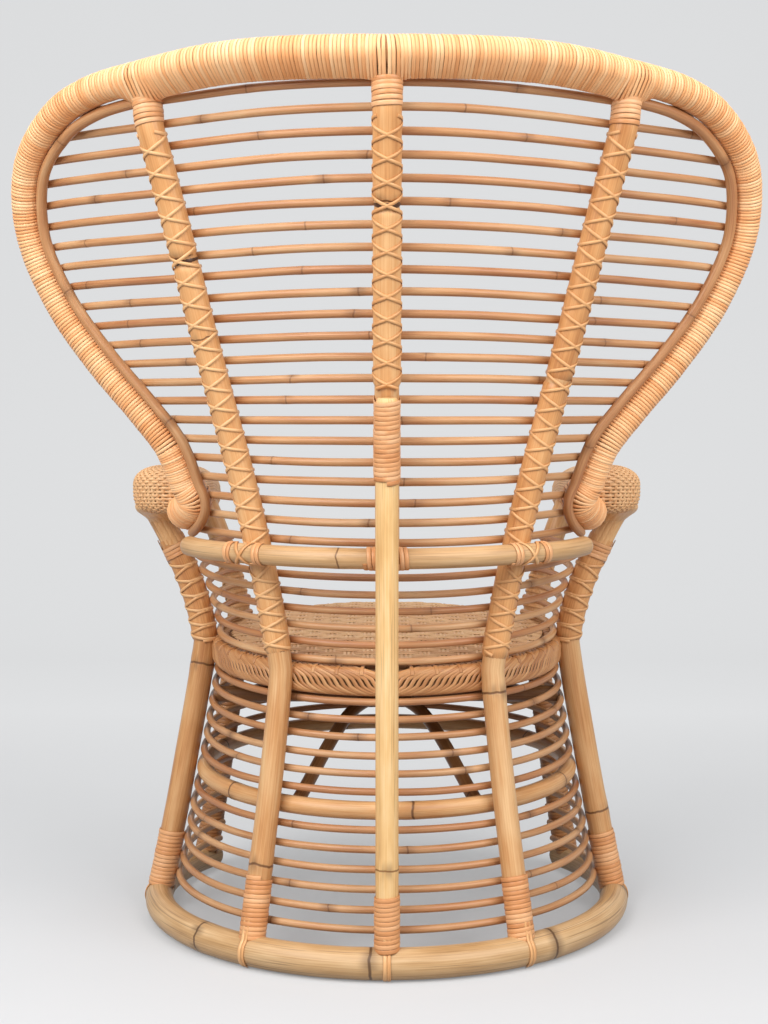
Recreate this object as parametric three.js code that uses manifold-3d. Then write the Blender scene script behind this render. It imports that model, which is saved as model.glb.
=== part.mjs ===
// A peacock chair of bent cane: thin rods tied inside a few upright poles make a cage that stands on a
// ring, draws in to a waist at the seat and opens above the arms into a wide fan with a wound rim.
//
// Millimetres, +Z up, the sitter looks along -Y. Angles are in degrees round the upright axis, counted
// from the middle of the back and growing towards the sitter's left (+X).

import * as THREE from 'three';
import { mergeVertices } from 'three/addons/utils/BufferGeometryUtils.js';
import Module from 'manifold-3d';

// Gap left between pieces that rest on or are tied to each other
const CLEARANCE = 0.3;

// Diameters of the poles and rods
const FOOT_RING_DIAMETER = 38;
const STAKE_DIAMETER = 29;
const SIDE_STAKE_DIAMETER = 32;
const LEG_DIAMETER = 32;
const PROP_DIAMETER = 27;
const ROD_DIAMETER = 10;
const MID_HOOP_DIAMETER = 22;
const ARM_RING_DIAMETER = 25;
const RIM_DIAMETER = 38;
const RIM_LINER_DIAMETER = 14;
const SEAT_RAIL_DIAMETER = 22;
const SEAT_BRACE_DIAMETER = 17;

// Heights at the middle of the back
const MID_HOOP_HEIGHT = 184;
const SEAT_HEIGHT = 336;
const WAIST_HEIGHT = 346;
const ARM_RING_HEIGHT = 499;
const PROP_TOP_HEIGHT = 691;
const CROWN_HEIGHT = 1056;

// The cage that the rods lie on: radii behind the seat, and how it widens into wings at the sides
const FOOT_RING_RADIUS = 310;
const WAIST_RADIUS = 227;
const CROWN_RADIUS = 414;
const SKIRT_CURVE = 1.15;
const FLARE_CURVE = 1.5;
const WING_SPREAD = 165;
const WING_START_HEIGHT = 331;
const WING_FULL_HEIGHT = 906;
const WING_SHARPNESS = 6;

// The hoops near the seat rise towards the front by this much for each unit of depth
const HOOP_RISE = 0.08;
const HOOP_RISE_END_HEIGHT = 766;

// Where the uprights stand round the axis
const MID_STAKE_FOOT_ANGLE = 32;
const MID_STAKE_CROWN_ANGLE = 41;
const MID_STAKE_SETTLED_HEIGHT = 806;
const SIDE_STAKE_ANGLE = 84;
const LEG_ANGLE = 120;
// Where the two ends of a rod that goes all round meet at the front
const ALL_ROUND_ANGLE = 179.9;
const FOOT_RING_OVERHANG_ANGLE = 4;

// The rim's line on the cage, from the crown down to the curl that its end makes at the arm:
// angle, and share of the way up from the arm ring to the crown
const RIM_LINE = [
  [0, 1],
  [24, 1.006],
  [41, 0.995],
  [51, 0.98],
  [58, 0.945],
  [66, 0.853],
  [70.4, 0.715],
  [70.6, 0.56],
  [68, 0.425],
  [63.7, 0.3],
  [60.6, 0.214],
  [61.2, 0.127],
  [61.9, 0.1],
  [64.1, 0.078],
  [68.7, 0.055],
];
const STAKE_LAP_ON_RIM = 5;

// Rods stop this far from the rim's middle line, where they lie against the roll
const ROD_STOP_SHORT = 9;

// Numbers of rods in each field of the cage
const LOWER_SKIRT_RODS = 6;
const UPPER_SKIRT_RODS = 6;
const SIDE_RODS = 6;
const BACK_RODS = 22;

// The woven seat and its plaited border
const SEAT_BORDER_HEIGHT = 28;
const SEAT_BORDER_WIDTH = 20;
const SEAT_BORDER_ROUNDING = 7;
const SEAT_LAP_ON_STAKES = 4;
const SEAT_PANEL_THICKNESS = 14;
const SEAT_PANEL_STEP = 5;
const SEAT_PANEL_CROWN = 9;

// The woven arms: ovals over the side stakes, bowed outwards, drawn in and dipping at the front
const ARM_WIDTH = 112;
const ARM_THICKNESS = 52;
const ARM_LENGTH = 330;
const ARM_LIFT = 75;
const ARM_REACH_BEHIND = 113;
const ARM_BOW = 14;
const ARM_TOE_IN = 18;
const ARM_DIP = 16;

// The poles under the seat
const SEAT_RAIL_Y = 20;
const SEAT_RAIL_DROP = 47;
const SEAT_BRACE_FOOT_ANGLE = 27;
const SEAT_BRACE_SPREAD = 38;
const SEAT_BRACE_BEND = 0.1;

// Facets
const FOOT_RING_SIDES = 12;
const POLE_SIDES = 12;
const THIN_POLE_SIDES = 8;
const ROD_SIDES = 6;
const FOOT_RING_STEPS = 28;
const ARM_RING_STEPS = 24;
const HOOP_STEPS = 24;
const ALL_ROUND_STEPS = 36;
const BACK_ROD_STEPS = 10;
const RIM_STEPS = 72;
const RIM_SAMPLES = 800;
const ROD_SEARCH_STEP = 0.1;
const STAKE_STEPS = 26;
const SHORT_POLE_STEPS = 12;
const SEAT_STEPS = 32;
const ARM_SIDES = 14;
const ARM_END_STEPS = 4;
const ARM_STEPS = 6;

const wasm = await Module();
wasm.setup();

const radians = THREE.MathUtils.degToRad;
const smooth = THREE.MathUtils.smoothstep;
const lerp = THREE.MathUtils.lerp;

// Distance from the rods' middle line out to the middle line of a pole tied against them
function standoff(poleDiameter) {
  return ROD_DIAMETER / 2 + CLEARANCE + poleDiameter / 2;
}

const FOOT_HEIGHT = (FOOT_RING_DIAMETER / 2) * Math.cos(Math.PI / FOOT_RING_SIDES);
const CAGE_FOOT_RADIUS = FOOT_RING_RADIUS - standoff(SIDE_STAKE_DIAMETER);

function cageRadius(height, angle) {
  let radius = WAIST_RADIUS;
  if (height < WAIST_HEIGHT) {
    const down = (WAIST_HEIGHT - height) / (WAIST_HEIGHT - FOOT_HEIGHT);
    radius += (CAGE_FOOT_RADIUS - WAIST_RADIUS) * down ** SKIRT_CURVE;
  } else {
    const up = (height - WAIST_HEIGHT) / (CROWN_HEIGHT - WAIST_HEIGHT);
    radius += (CROWN_RADIUS - WAIST_RADIUS) * up ** FLARE_CURVE;
  }
  const sideways = Math.sin(radians(Math.min(Math.abs(angle), 90)));
  const spread = WING_SPREAD * smooth(height, WING_START_HEIGHT, WING_FULL_HEIGHT);
  return radius + spread * sideways ** WING_SHARPNESS;
}

function hoopRise(height) {
  const grows = smooth(height, FOOT_HEIGHT, WAIST_HEIGHT);
  const fades = 1 - smooth(height, ARM_RING_HEIGHT, HOOP_RISE_END_HEIGHT);
  return HOOP_RISE * grows * fades;
}

function cagePoint(height, angle) {
  const radius = cageRadius(height, angle);
  const depth = radius * (1 - Math.cos(radians(angle)));
  return new THREE.Vector3(
    radius * Math.sin(radians(angle)),
    radius * Math.cos(radians(angle)),
    height + hoopRise(height) * depth,
  );
}

function cageNormal(height, angle) {
  const step = 0.5;
  const across = cagePoint(height, angle - step).sub(cagePoint(height, angle + step));
  const up = cagePoint(height + step, angle).sub(cagePoint(height - step, angle));
  return across.cross(up).normalize();
}

function onCage(height, angle, distance) {
  return cagePoint(height, angle).addScaledVector(cageNormal(height, angle), distance);
}

// A line on the cage whose height, angle and distance are given along its length
class CageLine extends THREE.Curve {
  constructor(heightAt, angleAt, distanceAt) {
    super();
    this.heightAt = heightAt;
    this.angleAt = angleAt;
    this.distanceAt = distanceAt;
  }

  getPoint(t, target = new THREE.Vector3()) {
    return target.copy(onCage(this.heightAt(t), this.angleAt(t), this.distanceAt(t)));
  }
}

// Solids

function toSolid(geometry) {
  const bare = geometry.index ? geometry.toNonIndexed() : geometry;
  bare.deleteAttribute('normal');
  bare.deleteAttribute('uv');
  const merged = mergeVertices(bare, 1e-4);
  return new wasm.Manifold(new wasm.Mesh({
    numProp: 3,
    vertProperties: new Float32Array(merged.attributes.position.array),
    triVerts: new Uint32Array(merged.index.array),
  }));
}

function toGeometry(solid) {
  const mesh = solid.getMesh();
  const geometry = new THREE.BufferGeometry();
  geometry.setAttribute('position', new THREE.BufferAttribute(mesh.vertProperties, 3));
  geometry.setIndex(new THREE.BufferAttribute(mesh.triVerts, 1));
  const faceted = geometry.toNonIndexed();
  faceted.computeVertexNormals();
  return faceted;
}

// A pole of round section along a curve; a flat of the section faces the start normal if asked
function pole(curve, diameter, sides, steps, flat = false) {
  const corners = [];
  for (let i = 0; i < sides; i += 1) {
    const turn = (2 * Math.PI * (i + (flat ? 0.5 : 0))) / sides + Math.PI / 2;
    corners.push(new THREE.Vector2(Math.cos(turn), Math.sin(turn)).multiplyScalar(diameter / 2));
  }
  const section = new THREE.Shape(corners);
  return toSolid(new THREE.ExtrudeGeometry(section, { steps, bevelEnabled: false, extrudePath: curve }));
}

// A piece and a copy grown by the clearance, which cuts the seat of whatever rests on it
function withSeat(make) {
  return { solid: make(0), cutter: make(2 * CLEARANCE) };
}

function cutBy(piece, neighbours) {
  return neighbours.reduce((solid, neighbour) => solid.subtract(neighbour.cutter), piece.solid);
}

function roundPole(curve, diameter, sides, steps, flat = false) {
  return withSeat((growth) => pole(curve, diameter + growth, sides, steps, flat));
}

function evenly(low, high, count) {
  const pitch = (high - low) / count;
  return Array.from({ length: count }, (_, i) => low + pitch * (i + 0.5));
}

// Ring on the floor, open at the front
function footRing() {
  const reach = LEG_ANGLE + FOOT_RING_OVERHANG_ANGLE;
  const line = new THREE.Curve();
  line.getPoint = (t, target = new THREE.Vector3()) => {
    const angle = radians(lerp(-reach, reach, t));
    return target.set(FOOT_RING_RADIUS * Math.sin(angle), FOOT_RING_RADIUS * Math.cos(angle), FOOT_HEIGHT);
  };
  return roundPole(line, FOOT_RING_DIAMETER, FOOT_RING_SIDES, FOOT_RING_STEPS, true);
}

// Hoop inside the uprights that goes all round, level with the rods' outer side
const hoopInset = ROD_DIAMETER / 2 - MID_HOOP_DIAMETER / 2;

function midHoopPole() {
  const line = new CageLine(
    () => MID_HOOP_HEIGHT,
    (t) => lerp(-ALL_ROUND_ANGLE, ALL_ROUND_ANGLE, t),
    () => hoopInset,
  );
  return roundPole(line, MID_HOOP_DIAMETER, THIN_POLE_SIDES, ALL_ROUND_STEPS);
}

// Ring outside the middle uprights that runs in to the side stakes at its ends
const armRingDistance = standoff(STAKE_DIAMETER) + STAKE_DIAMETER / 2 + CLEARANCE + ARM_RING_DIAMETER / 2;

function armRing() {
  const line = new CageLine(
    () => ARM_RING_HEIGHT,
    (t) => lerp(-SIDE_STAKE_ANGLE, SIDE_STAKE_ANGLE, t),
    (t) => {
      const angle = Math.abs(lerp(-SIDE_STAKE_ANGLE, SIDE_STAKE_ANGLE, t));
      const inward = smooth(angle, MID_STAKE_CROWN_ANGLE, SIDE_STAKE_ANGLE);
      return lerp(armRingDistance, standoff(SIDE_STAKE_DIAMETER), inward);
    },
  );
  return roundPole(line, ARM_RING_DIAMETER, POLE_SIDES, ARM_RING_STEPS);
}

// Uprights on the outside of the cage
function upright(diameter, bottom, top, angleAt, steps) {
  const line = new CageLine(
    (t) => lerp(bottom, top, t),
    (t) => angleAt(lerp(bottom, top, t)),
    () => standoff(diameter),
  );
  return roundPole(line, diameter, POLE_SIDES, steps);
}

function midStakeAngle(side) {
  return (height) => {
    const up = THREE.MathUtils.clamp((height - WAIST_HEIGHT) / (MID_STAKE_SETTLED_HEIGHT - WAIST_HEIGHT), 0, 1);
    return side * lerp(MID_STAKE_FOOT_ANGLE, MID_STAKE_CROWN_ANGLE, Math.sin((up * Math.PI) / 2));
  };
}

// Pole that props the back: stands on the foot ring and leans on the arm ring and the centre stake
function backProp() {
  const stakeFace = standoff(STAKE_DIAMETER) + STAKE_DIAMETER / 2;
  const ringFace = armRingDistance + ARM_RING_DIAMETER / 2;
  const rest = CLEARANCE + PROP_DIAMETER / 2;
  const line = new THREE.CatmullRomCurve3([
    new THREE.Vector3(0, FOOT_RING_RADIUS, FOOT_HEIGHT),
    onCage(ARM_RING_HEIGHT, 0, ringFace + rest),
    onCage(PROP_TOP_HEIGHT, 0, stakeFace + rest),
  ]);
  return roundPole(line, PROP_DIAMETER, POLE_SIDES, SHORT_POLE_STEPS);
}

// Rim
const rimDistance = standoff(RIM_LINER_DIAMETER);

// A curve that is stepped evenly from one given point to the next, so that a tight curl gets its share
class SteppedCurve extends THREE.CatmullRomCurve3 {
  getUtoTmapping(u) {
    return u;
  }
}

function rimLine() {
  const half = RIM_LINE.map(([angle, share]) => {
    return onCage(lerp(ARM_RING_HEIGHT, CROWN_HEIGHT, share), angle, rimDistance);
  });
  const mirrored = half.slice(1).reverse().map((p) => new THREE.Vector3(-p.x, p.y, p.z));
  return new SteppedCurve([...mirrored, ...half]);
}

const rimCurve = rimLine();

// The height and angle of the point on the cage that lies nearest to a point above it
function settle(point, distance) {
  let height = point.z;
  let angle = Math.atan2(point.x, point.y);
  for (let i = 0; i < 8; i += 1) {
    const reached = onCage(height, THREE.MathUtils.radToDeg(angle), distance);
    height += point.z - reached.z;
    angle += Math.atan2(point.x, point.y) - Math.atan2(reached.x, reached.y);
  }
  return onCage(height, THREE.MathUtils.radToDeg(angle), distance);
}

// Thin pole that follows the rim on its inner side
function rimLiner() {
  const inward = RIM_DIAMETER / 2 + RIM_LINER_DIAMETER / 2 + 2 * CLEARANCE;
  const points = rimCurve.getSpacedPoints(RIM_STEPS).map((point, i) => {
    const along = rimCurve.getTangentAt(i / RIM_STEPS);
    const angle = THREE.MathUtils.radToDeg(Math.atan2(point.x, point.y));
    const inside = cageNormal(point.z, angle).cross(along).normalize();
    return settle(point.clone().addScaledVector(inside, inward), rimDistance);
  });
  return roundPole(new SteppedCurve(points), RIM_LINER_DIAMETER, THIN_POLE_SIDES, RIM_STEPS);
}

// The angle at which a rod on its way out from the middle of the back comes near the rim's middle line
const rimSamples = rimCurve.getSpacedPoints(RIM_SAMPLES).slice(RIM_SAMPLES / 2);
const rodStop = Math.hypot(rimDistance, ROD_STOP_SHORT);

function rimAngleAt(height) {
  for (let angle = 0; angle < SIDE_STAKE_ANGLE; angle += ROD_SEARCH_STEP) {
    const tip = cagePoint(height, angle);
    if (rimSamples.some((point) => point.distanceTo(tip) < rodStop)) {
      return angle;
    }
  }
  return RIM_LINE[RIM_LINE.length - 1][0];
}

// Rods
function rod(height, reach, steps) {
  const line = new CageLine(
    () => height,
    (t) => lerp(-reach, reach, t),
    () => 0,
  );
  return roundPole(line, ROD_DIAMETER, ROD_SIDES, steps);
}

// Seat: its border fills the narrowest place between the uprights over its height and is notched for them
const borderTop = SEAT_HEIGHT + SEAT_BORDER_HEIGHT / 2;
const borderBottom = SEAT_HEIGHT - SEAT_BORDER_HEIGHT / 2;
const narrowest = THREE.MathUtils.clamp(WAIST_HEIGHT, borderBottom, borderTop);
const borderOuter = cageRadius(narrowest, 0) + ROD_DIAMETER / 2 + SEAT_LAP_ON_STAKES;

// Both pieces are turned about the upright axis, then sheared to the rise of the hoops
function turned(profile) {
  const rise = hoopRise(SEAT_HEIGHT);
  const lift = rise * cageRadius(SEAT_HEIGHT, 0);
  const tilt = new THREE.Matrix4().set(1, 0, 0, 0, 0, 1, 0, 0, 0, -rise, 1, lift, 0, 0, 0, 1);
  const geometry = new THREE.LatheGeometry(profile, SEAT_STEPS);
  geometry.rotateX(Math.PI / 2);
  return toSolid(geometry.applyMatrix4(tilt));
}

function seatBorder() {
  const inner = borderOuter - SEAT_BORDER_WIDTH;
  const section = new THREE.Path();
  const round = SEAT_BORDER_ROUNDING;
  section.moveTo(inner, borderBottom);
  section.lineTo(borderOuter - round, borderBottom);
  section.quadraticCurveTo(borderOuter, borderBottom, borderOuter, borderBottom + round);
  section.lineTo(borderOuter, borderTop - round);
  section.quadraticCurveTo(borderOuter, borderTop, borderOuter - round, borderTop);
  section.lineTo(inner, borderTop);
  section.lineTo(inner, borderBottom);
  return { solid: turned(section.getPoints(2)) };
}

function seatPanel() {
  const edge = borderOuter - SEAT_BORDER_WIDTH - CLEARANCE;
  const top = borderTop + SEAT_PANEL_STEP;
  const profile = [new THREE.Vector2(0, top - SEAT_PANEL_THICKNESS)];
  profile.push(new THREE.Vector2(edge, top - SEAT_PANEL_THICKNESS));
  for (const share of [1, 0.94, 0.75, 0.45]) {
    profile.push(new THREE.Vector2(edge * share, top + SEAT_PANEL_CROWN * (1 - share ** 2)));
  }
  profile.push(new THREE.Vector2(0, top + SEAT_PANEL_CROWN));
  return turned(profile);
}

// Arms
const armHeight = ARM_RING_HEIGHT + ARM_LIFT;

function arm(side) {
  const half = ARM_LENGTH / 2;
  const stake = onCage(ARM_RING_HEIGHT, SIDE_STAKE_ANGLE, standoff(SIDE_STAKE_DIAMETER));
  return withSeat((growth) => {
    const radius = ARM_THICKNESS / 2 + growth / 2;
    const straight = ARM_LENGTH - ARM_THICKNESS;
    const shape = new THREE.CapsuleGeometry(radius, straight, ARM_END_STEPS, ARM_SIDES, ARM_STEPS);
    shape.scale((ARM_WIDTH + growth) / (2 * radius), 1, 1);
    const points = shape.attributes.position;
    for (let i = 0; i < points.count; i += 1) {
      const forward = -points.getY(i) / half;
      const outward = stake.x - ARM_TOE_IN * Math.max(forward, 0) - ARM_BOW * forward ** 2;
      const lift = armHeight - ARM_DIP * Math.max(forward, 0) ** 2;
      const y = ARM_REACH_BEHIND - half + points.getY(i);
      points.setXYZ(i, points.getX(i) + side * outward, y, points.getZ(i) + lift);
    }
    return toSolid(shape);
  });
}

// Poles under the seat
const railHeight = SEAT_HEIGHT - SEAT_RAIL_DROP;

function seatRail() {
  const reach = cageRadius(railHeight - SEAT_RAIL_DIAMETER / 2, 90);
  const end = Math.sqrt(reach ** 2 - SEAT_RAIL_Y ** 2);
  const line = new THREE.LineCurve3(
    new THREE.Vector3(-end, SEAT_RAIL_Y, railHeight),
    new THREE.Vector3(end, SEAT_RAIL_Y, railHeight),
  );
  return roundPole(line, SEAT_RAIL_DIAMETER, POLE_SIDES, 1);
}

// One pole bent to an upturned V, from the mid hoop's back up behind the rail and down again
function seatBrace() {
  const foot = onCage(MID_HOOP_HEIGHT, SEAT_BRACE_FOOT_ANGLE, hoopInset);
  const behind = SEAT_RAIL_Y + SEAT_RAIL_DIAMETER / 2 + CLEARANCE + SEAT_BRACE_DIAMETER / 2;
  const top = new THREE.Vector3(0, behind, railHeight);
  const bend = top.clone().lerp(foot, SEAT_BRACE_BEND).setX(SEAT_BRACE_SPREAD);
  const mirror = (p) => new THREE.Vector3(-p.x, p.y, p.z);
  const line = new THREE.CatmullRomCurve3([mirror(foot), mirror(bend), top, bend, foot]);
  return roundPole(line, SEAT_BRACE_DIAMETER, THIN_POLE_SIDES, SHORT_POLE_STEPS);
}

// Colours of the cane, by the way that each piece is finished
const FINISHES = {
  pole: { color: 0xd2a066, roughness: 0.5, metalness: 0 },
  pale_pole: { color: 0xe6c68d, roughness: 0.5, metalness: 0 },
  rod: { color: 0xc08a58, roughness: 0.48, metalness: 0 },
  wound: { color: 0xcf9f66, roughness: 0.55, metalness: 0 },
  woven: { color: 0xd0a670, roughness: 0.6, metalness: 0 },
  shaded_pole: { color: 0x8a6038, roughness: 0.6, metalness: 0 },
};

const chair = new THREE.Group();

function place(name, solid, finish) {
  const mesh = new THREE.Mesh(toGeometry(solid), new THREE.MeshStandardMaterial(FINISHES[finish]));
  mesh.name = name;
  chair.add(mesh);
}

const ring = footRing();
const midHoop = midHoopPole();
const waistRing = armRing();
const rim = roundPole(rimCurve, RIM_DIAMETER, POLE_SIDES, RIM_STEPS);
const liner = rimLiner();
const arms = { left: arm(1), right: arm(-1) };
const rail = seatRail();

place('foot_ring', ring.solid, 'pole');
place('mid_hoop', midHoop.solid, 'pole');
place('rim_liner', cutBy(liner, [rim, waistRing]), 'pole');

const stakeTop = CROWN_HEIGHT - RIM_DIAMETER / 2 + STAKE_LAP_ON_RIM;
const armBottom = armHeight - ARM_THICKNESS / 2;
const midStakes = {};
const sideStakes = {};
const legs = {};
for (const [name, side] of [['left', 1], ['right', -1]]) {
  midStakes[name] = upright(STAKE_DIAMETER, FOOT_HEIGHT, stakeTop, midStakeAngle(side), STAKE_STEPS);
  place(`mid_stake_${name}`, cutBy(midStakes[name], [ring, rim, liner]), 'pole');
  const atSide = () => side * SIDE_STAKE_ANGLE;
  sideStakes[name] = upright(SIDE_STAKE_DIAMETER, FOOT_HEIGHT, armBottom, atSide, STAKE_STEPS);
  place(`side_stake_${name}`, cutBy(sideStakes[name], [ring, arms[name]]), 'pole');
  const atFront = () => side * LEG_ANGLE;
  legs[name] = upright(LEG_DIAMETER, FOOT_HEIGHT, armBottom, atFront, STAKE_STEPS);
  place(`front_leg_${name}`, cutBy(legs[name], [ring, arms[name]]), 'pole');
}

place('arm_ring', cutBy(waistRing, [sideStakes.left, sideStakes.right]), 'pale_pole');
place('rim_roll', cutBy(rim, [waistRing]), 'wound');
for (const name of ['left', 'right']) {
  place(`arm_${name}`, cutBy(arms[name], [rim, liner, waistRing]), 'woven');
}

const stakeFoot = ARM_RING_HEIGHT - ARM_RING_DIAMETER;
const centre = upright(STAKE_DIAMETER, stakeFoot, stakeTop, () => 0, SHORT_POLE_STEPS);
place('centre_stake', cutBy(centre, [rim, liner]), 'pole');
place('back_prop', cutBy(backProp(), [ring]), 'pale_pole');

// Rods lie evenly in the fields between the hoops
const hoopHalf = MID_HOOP_DIAMETER / 2;
const lowerSkirt = evenly(FOOT_RING_DIAMETER, MID_HOOP_HEIGHT - hoopHalf, LOWER_SKIRT_RODS);
const upperSkirt = evenly(MID_HOOP_HEIGHT + hoopHalf, borderBottom, UPPER_SKIRT_RODS);
const sides = evenly(borderTop, ARM_RING_HEIGHT - ARM_RING_DIAMETER, SIDE_RODS);
const rimBottom = CROWN_HEIGHT - RIM_DIAMETER / 2;
const back = evenly(ARM_RING_HEIGHT - ROD_DIAMETER / 2, rimBottom, BACK_RODS);

// Below the mid hoop the skirt is open at the front
const skirtRods = [
  ...lowerSkirt.map((height) => rod(height, LEG_ANGLE, HOOP_STEPS)),
  ...upperSkirt.map((height) => rod(height, ALL_ROUND_ANGLE, ALL_ROUND_STEPS)),
];
skirtRods.forEach((piece, i) => place(`skirt_rod_${i + 1}`, piece.solid, 'rod'));
sides.forEach((height, i) => place(`side_rod_${i + 1}`, rod(height, LEG_ANGLE, HOOP_STEPS).solid, 'rod'));
back.forEach((height, i) => {
  const piece = rod(height, rimAngleAt(height), BACK_ROD_STEPS);
  place(`back_rod_${i + 1}`, cutBy(piece, [rim]), 'rod');
});

const seatStakes = [midStakes, sideStakes, legs].flatMap((pair) => Object.values(pair));
place('seat_border', cutBy(seatBorder(), seatStakes), 'woven');
place('seat_panel', seatPanel(), 'woven');
place('seat_rail', cutBy(rail, skirtRods), 'shaded_pole');
place('seat_brace', cutBy(seatBrace(), [midHoop, rail]), 'shaded_pole');

// The origin is on the floor, under the middle of the chair's box
const box = new THREE.Box3().setFromObject(chair);
const middle = box.getCenter(new THREE.Vector3());
chair.position.set(-middle.x, -middle.y, -box.min.z);
chair.updateMatrixWorld(true);

export default chair;
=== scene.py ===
# %% [markdown]
# # A cane peacock chair, from its solids to its finish
# The chair is a cage of rattan: thick poles stand on a ring, thin rods bend round them,
# and strips of peeled cane bind everything together. The solids give each pole its place.
# This lesson lays the same lines again and lets Geometry Nodes grow round poles with
# joints, windings, lashings and weaving along them.

# %% Load the solids
import math

import bmesh
import bpy
import numpy as np
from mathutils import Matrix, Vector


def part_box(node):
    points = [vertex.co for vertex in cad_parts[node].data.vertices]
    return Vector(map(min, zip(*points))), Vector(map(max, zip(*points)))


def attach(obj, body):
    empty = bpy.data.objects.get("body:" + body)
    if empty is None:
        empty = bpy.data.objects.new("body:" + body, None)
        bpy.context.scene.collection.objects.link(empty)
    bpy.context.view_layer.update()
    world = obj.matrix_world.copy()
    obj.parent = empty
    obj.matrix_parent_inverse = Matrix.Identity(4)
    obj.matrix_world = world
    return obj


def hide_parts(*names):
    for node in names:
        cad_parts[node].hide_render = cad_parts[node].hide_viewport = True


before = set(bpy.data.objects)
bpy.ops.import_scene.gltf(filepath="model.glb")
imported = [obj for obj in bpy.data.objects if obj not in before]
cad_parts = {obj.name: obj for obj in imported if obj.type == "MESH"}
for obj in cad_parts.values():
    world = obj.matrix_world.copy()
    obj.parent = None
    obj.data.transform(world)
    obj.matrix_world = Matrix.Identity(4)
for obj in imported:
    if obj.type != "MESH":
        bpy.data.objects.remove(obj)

scene = bpy.context.scene
scene.view_settings.view_transform = "Standard"
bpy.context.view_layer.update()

# %% [markdown]
# ## Camera, floor and light
# The chair is seen from behind by a level camera a little above the seat. A level camera
# keeps the poles upright, so the view is framed by a small shift, not by a tilt. The floor
# runs up into the backdrop in one soft bend, and large lamps give a shadow without an edge.
# The paper glows only where the camera or a mirror sees it. Brighter lamps would whiten it
# as well, but they would bleach the cane too.

# %% Camera
PHOTO_ROWS = 1024
FOCAL_ROWS = 1450
HORIZON_ROW = 465
SENSOR = 36.0
CAMERA_PLACE = (0.0035, 1.911, 0.6013)

lens = bpy.data.cameras.new("back_view")
lens.sensor_fit = "VERTICAL"
lens.sensor_height = SENSOR
lens.lens = FOCAL_ROWS / PHOTO_ROWS * SENSOR
lens.shift_y = (HORIZON_ROW - PHOTO_ROWS / 2) / PHOTO_ROWS
camera = bpy.data.objects.new("back_view", lens)
camera.location = CAMERA_PLACE
camera.rotation_euler = (math.pi / 2, 0, math.pi)
scene.collection.objects.link(camera)
scene.camera = camera
print("lens", round(lens.lens, 2), "mm, shift", round(lens.shift_y, 4))


# %% Helpers for nodes
def paint(code):
    """A colour as it is read off a screen, turned into the linear numbers of a shader."""
    parts = np.array([int(code[i:i + 2], 16) / 255 for i in (1, 3, 5)])
    linear = np.where(parts <= 0.04045, parts / 12.92, ((parts + 0.055) / 1.055) ** 2.4)
    return (*linear.tolist(), 1.0)


def put(tree, kind, inputs=None, **settings):
    """Adds a node: settings first, then values or links for its sockets."""
    node = tree.nodes.new(kind)
    for name, value in settings.items():
        setattr(node, name, value)
    for key, value in (inputs or {}).items():
        if isinstance(value, bpy.types.Node):
            value = value.outputs[0]
        if isinstance(value, bpy.types.NodeSocket):
            tree.links.new(value, node.inputs[key])
        else:
            node.inputs[key].default_value = value
    return node


def calc(tree, operation, *values):
    """A sum, product or other calculation with numbers."""
    return put(tree, "ShaderNodeMath", dict(enumerate(values)), operation=operation).outputs[0]


def vec(tree, operation, *values):
    """A calculation with vectors or colours."""
    sockets = dict(enumerate(values))
    if operation == "SCALE":
        sockets = {0: values[0], "Scale": values[1]}
    node = put(tree, "ShaderNodeVectorMath", sockets, operation=operation)
    return node.outputs["Value" if operation == "DOT_PRODUCT" else "Vector"]


print("a middle grey of a screen is", round(paint("#808080")[0], 3), "in a shader")


# %% Helpers for finishes
def noise(tree, place, scale=1.0, detail=2.0):
    """Soft random shares that change with the place."""
    return put(tree, "ShaderNodeTexNoise",
               {"Vector": place, "Scale": scale, "Detail": detail}).outputs["Fac"]


def object_place(tree):
    return put(tree, "ShaderNodeTexCoord").outputs["Object"]


def ramp_of(tree, value, *stops):
    """A colour ramp from pairs of place and colour."""
    node = put(tree, "ShaderNodeValToRGB", {"Fac": value})
    elements = node.color_ramp.elements
    elements[0].position, elements[1].position = stops[0][0], stops[-1][0]
    elements[0].color, elements[1].color = paint(stops[0][1]), paint(stops[-1][1])
    for place, code in stops[1:-1]:
        elements.new(place).color = paint(code)
    return node.outputs["Color"]


def new_finish(name):
    """An empty material with its shader and output, ready for colour and relief."""
    finish = bpy.data.materials.new(name)
    finish.use_nodes = True
    tree = finish.node_tree
    tree.nodes.clear()
    shader = put(tree, "ShaderNodeBsdfPrincipled")
    put(tree, "ShaderNodeOutputMaterial", {"Surface": shader})
    return finish, tree, shader


# %% Paper of the backdrop
FLOOR_GLOW, WALL_GLOW, BOUNCE = 0.25, 0.72, 0.55
GLOW_START, GLOW_FULL = 0.0, -1.6
PAPER_ROUGHNESS, PAPER_GLOSS, SPECKLE = 0.9, 0.1, 3.0

paper, tree, shader = new_finish("backdrop_paper")
place = object_place(tree)
rays = put(tree, "ShaderNodeLightPath").outputs
mirrored = calc(tree, "ADD", rays["Is Glossy Ray"], rays["Is Transmission Ray"])
seen = put(tree, "ShaderNodeMath", {0: rays["Is Camera Ray"], 1: mirrored}, use_clamp=True)
bounced = put(tree, "ShaderNodeMapRange", {"Value": seen, "To Min": BOUNCE, "To Max": 1.0})
white = ramp_of(tree, noise(tree, place, SPECKLE), (0.0, "#c9cacc"), (1.0, "#cecfd1"))
tree.links.new(vec(tree, "SCALE", white, bounced), shader.inputs["Base Color"])
shader.inputs["Roughness"].default_value = PAPER_ROUGHNESS
shader.inputs["Specular IOR Level"].default_value = PAPER_GLOSS
depth = put(tree, "ShaderNodeSeparateXYZ", {"Vector": place}).outputs["Y"]
lit = put(tree, "ShaderNodeMapRange",
          {"Value": depth, "From Min": GLOW_START, "From Max": GLOW_FULL,
           "To Min": FLOOR_GLOW, "To Max": WALL_GLOW})
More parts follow.
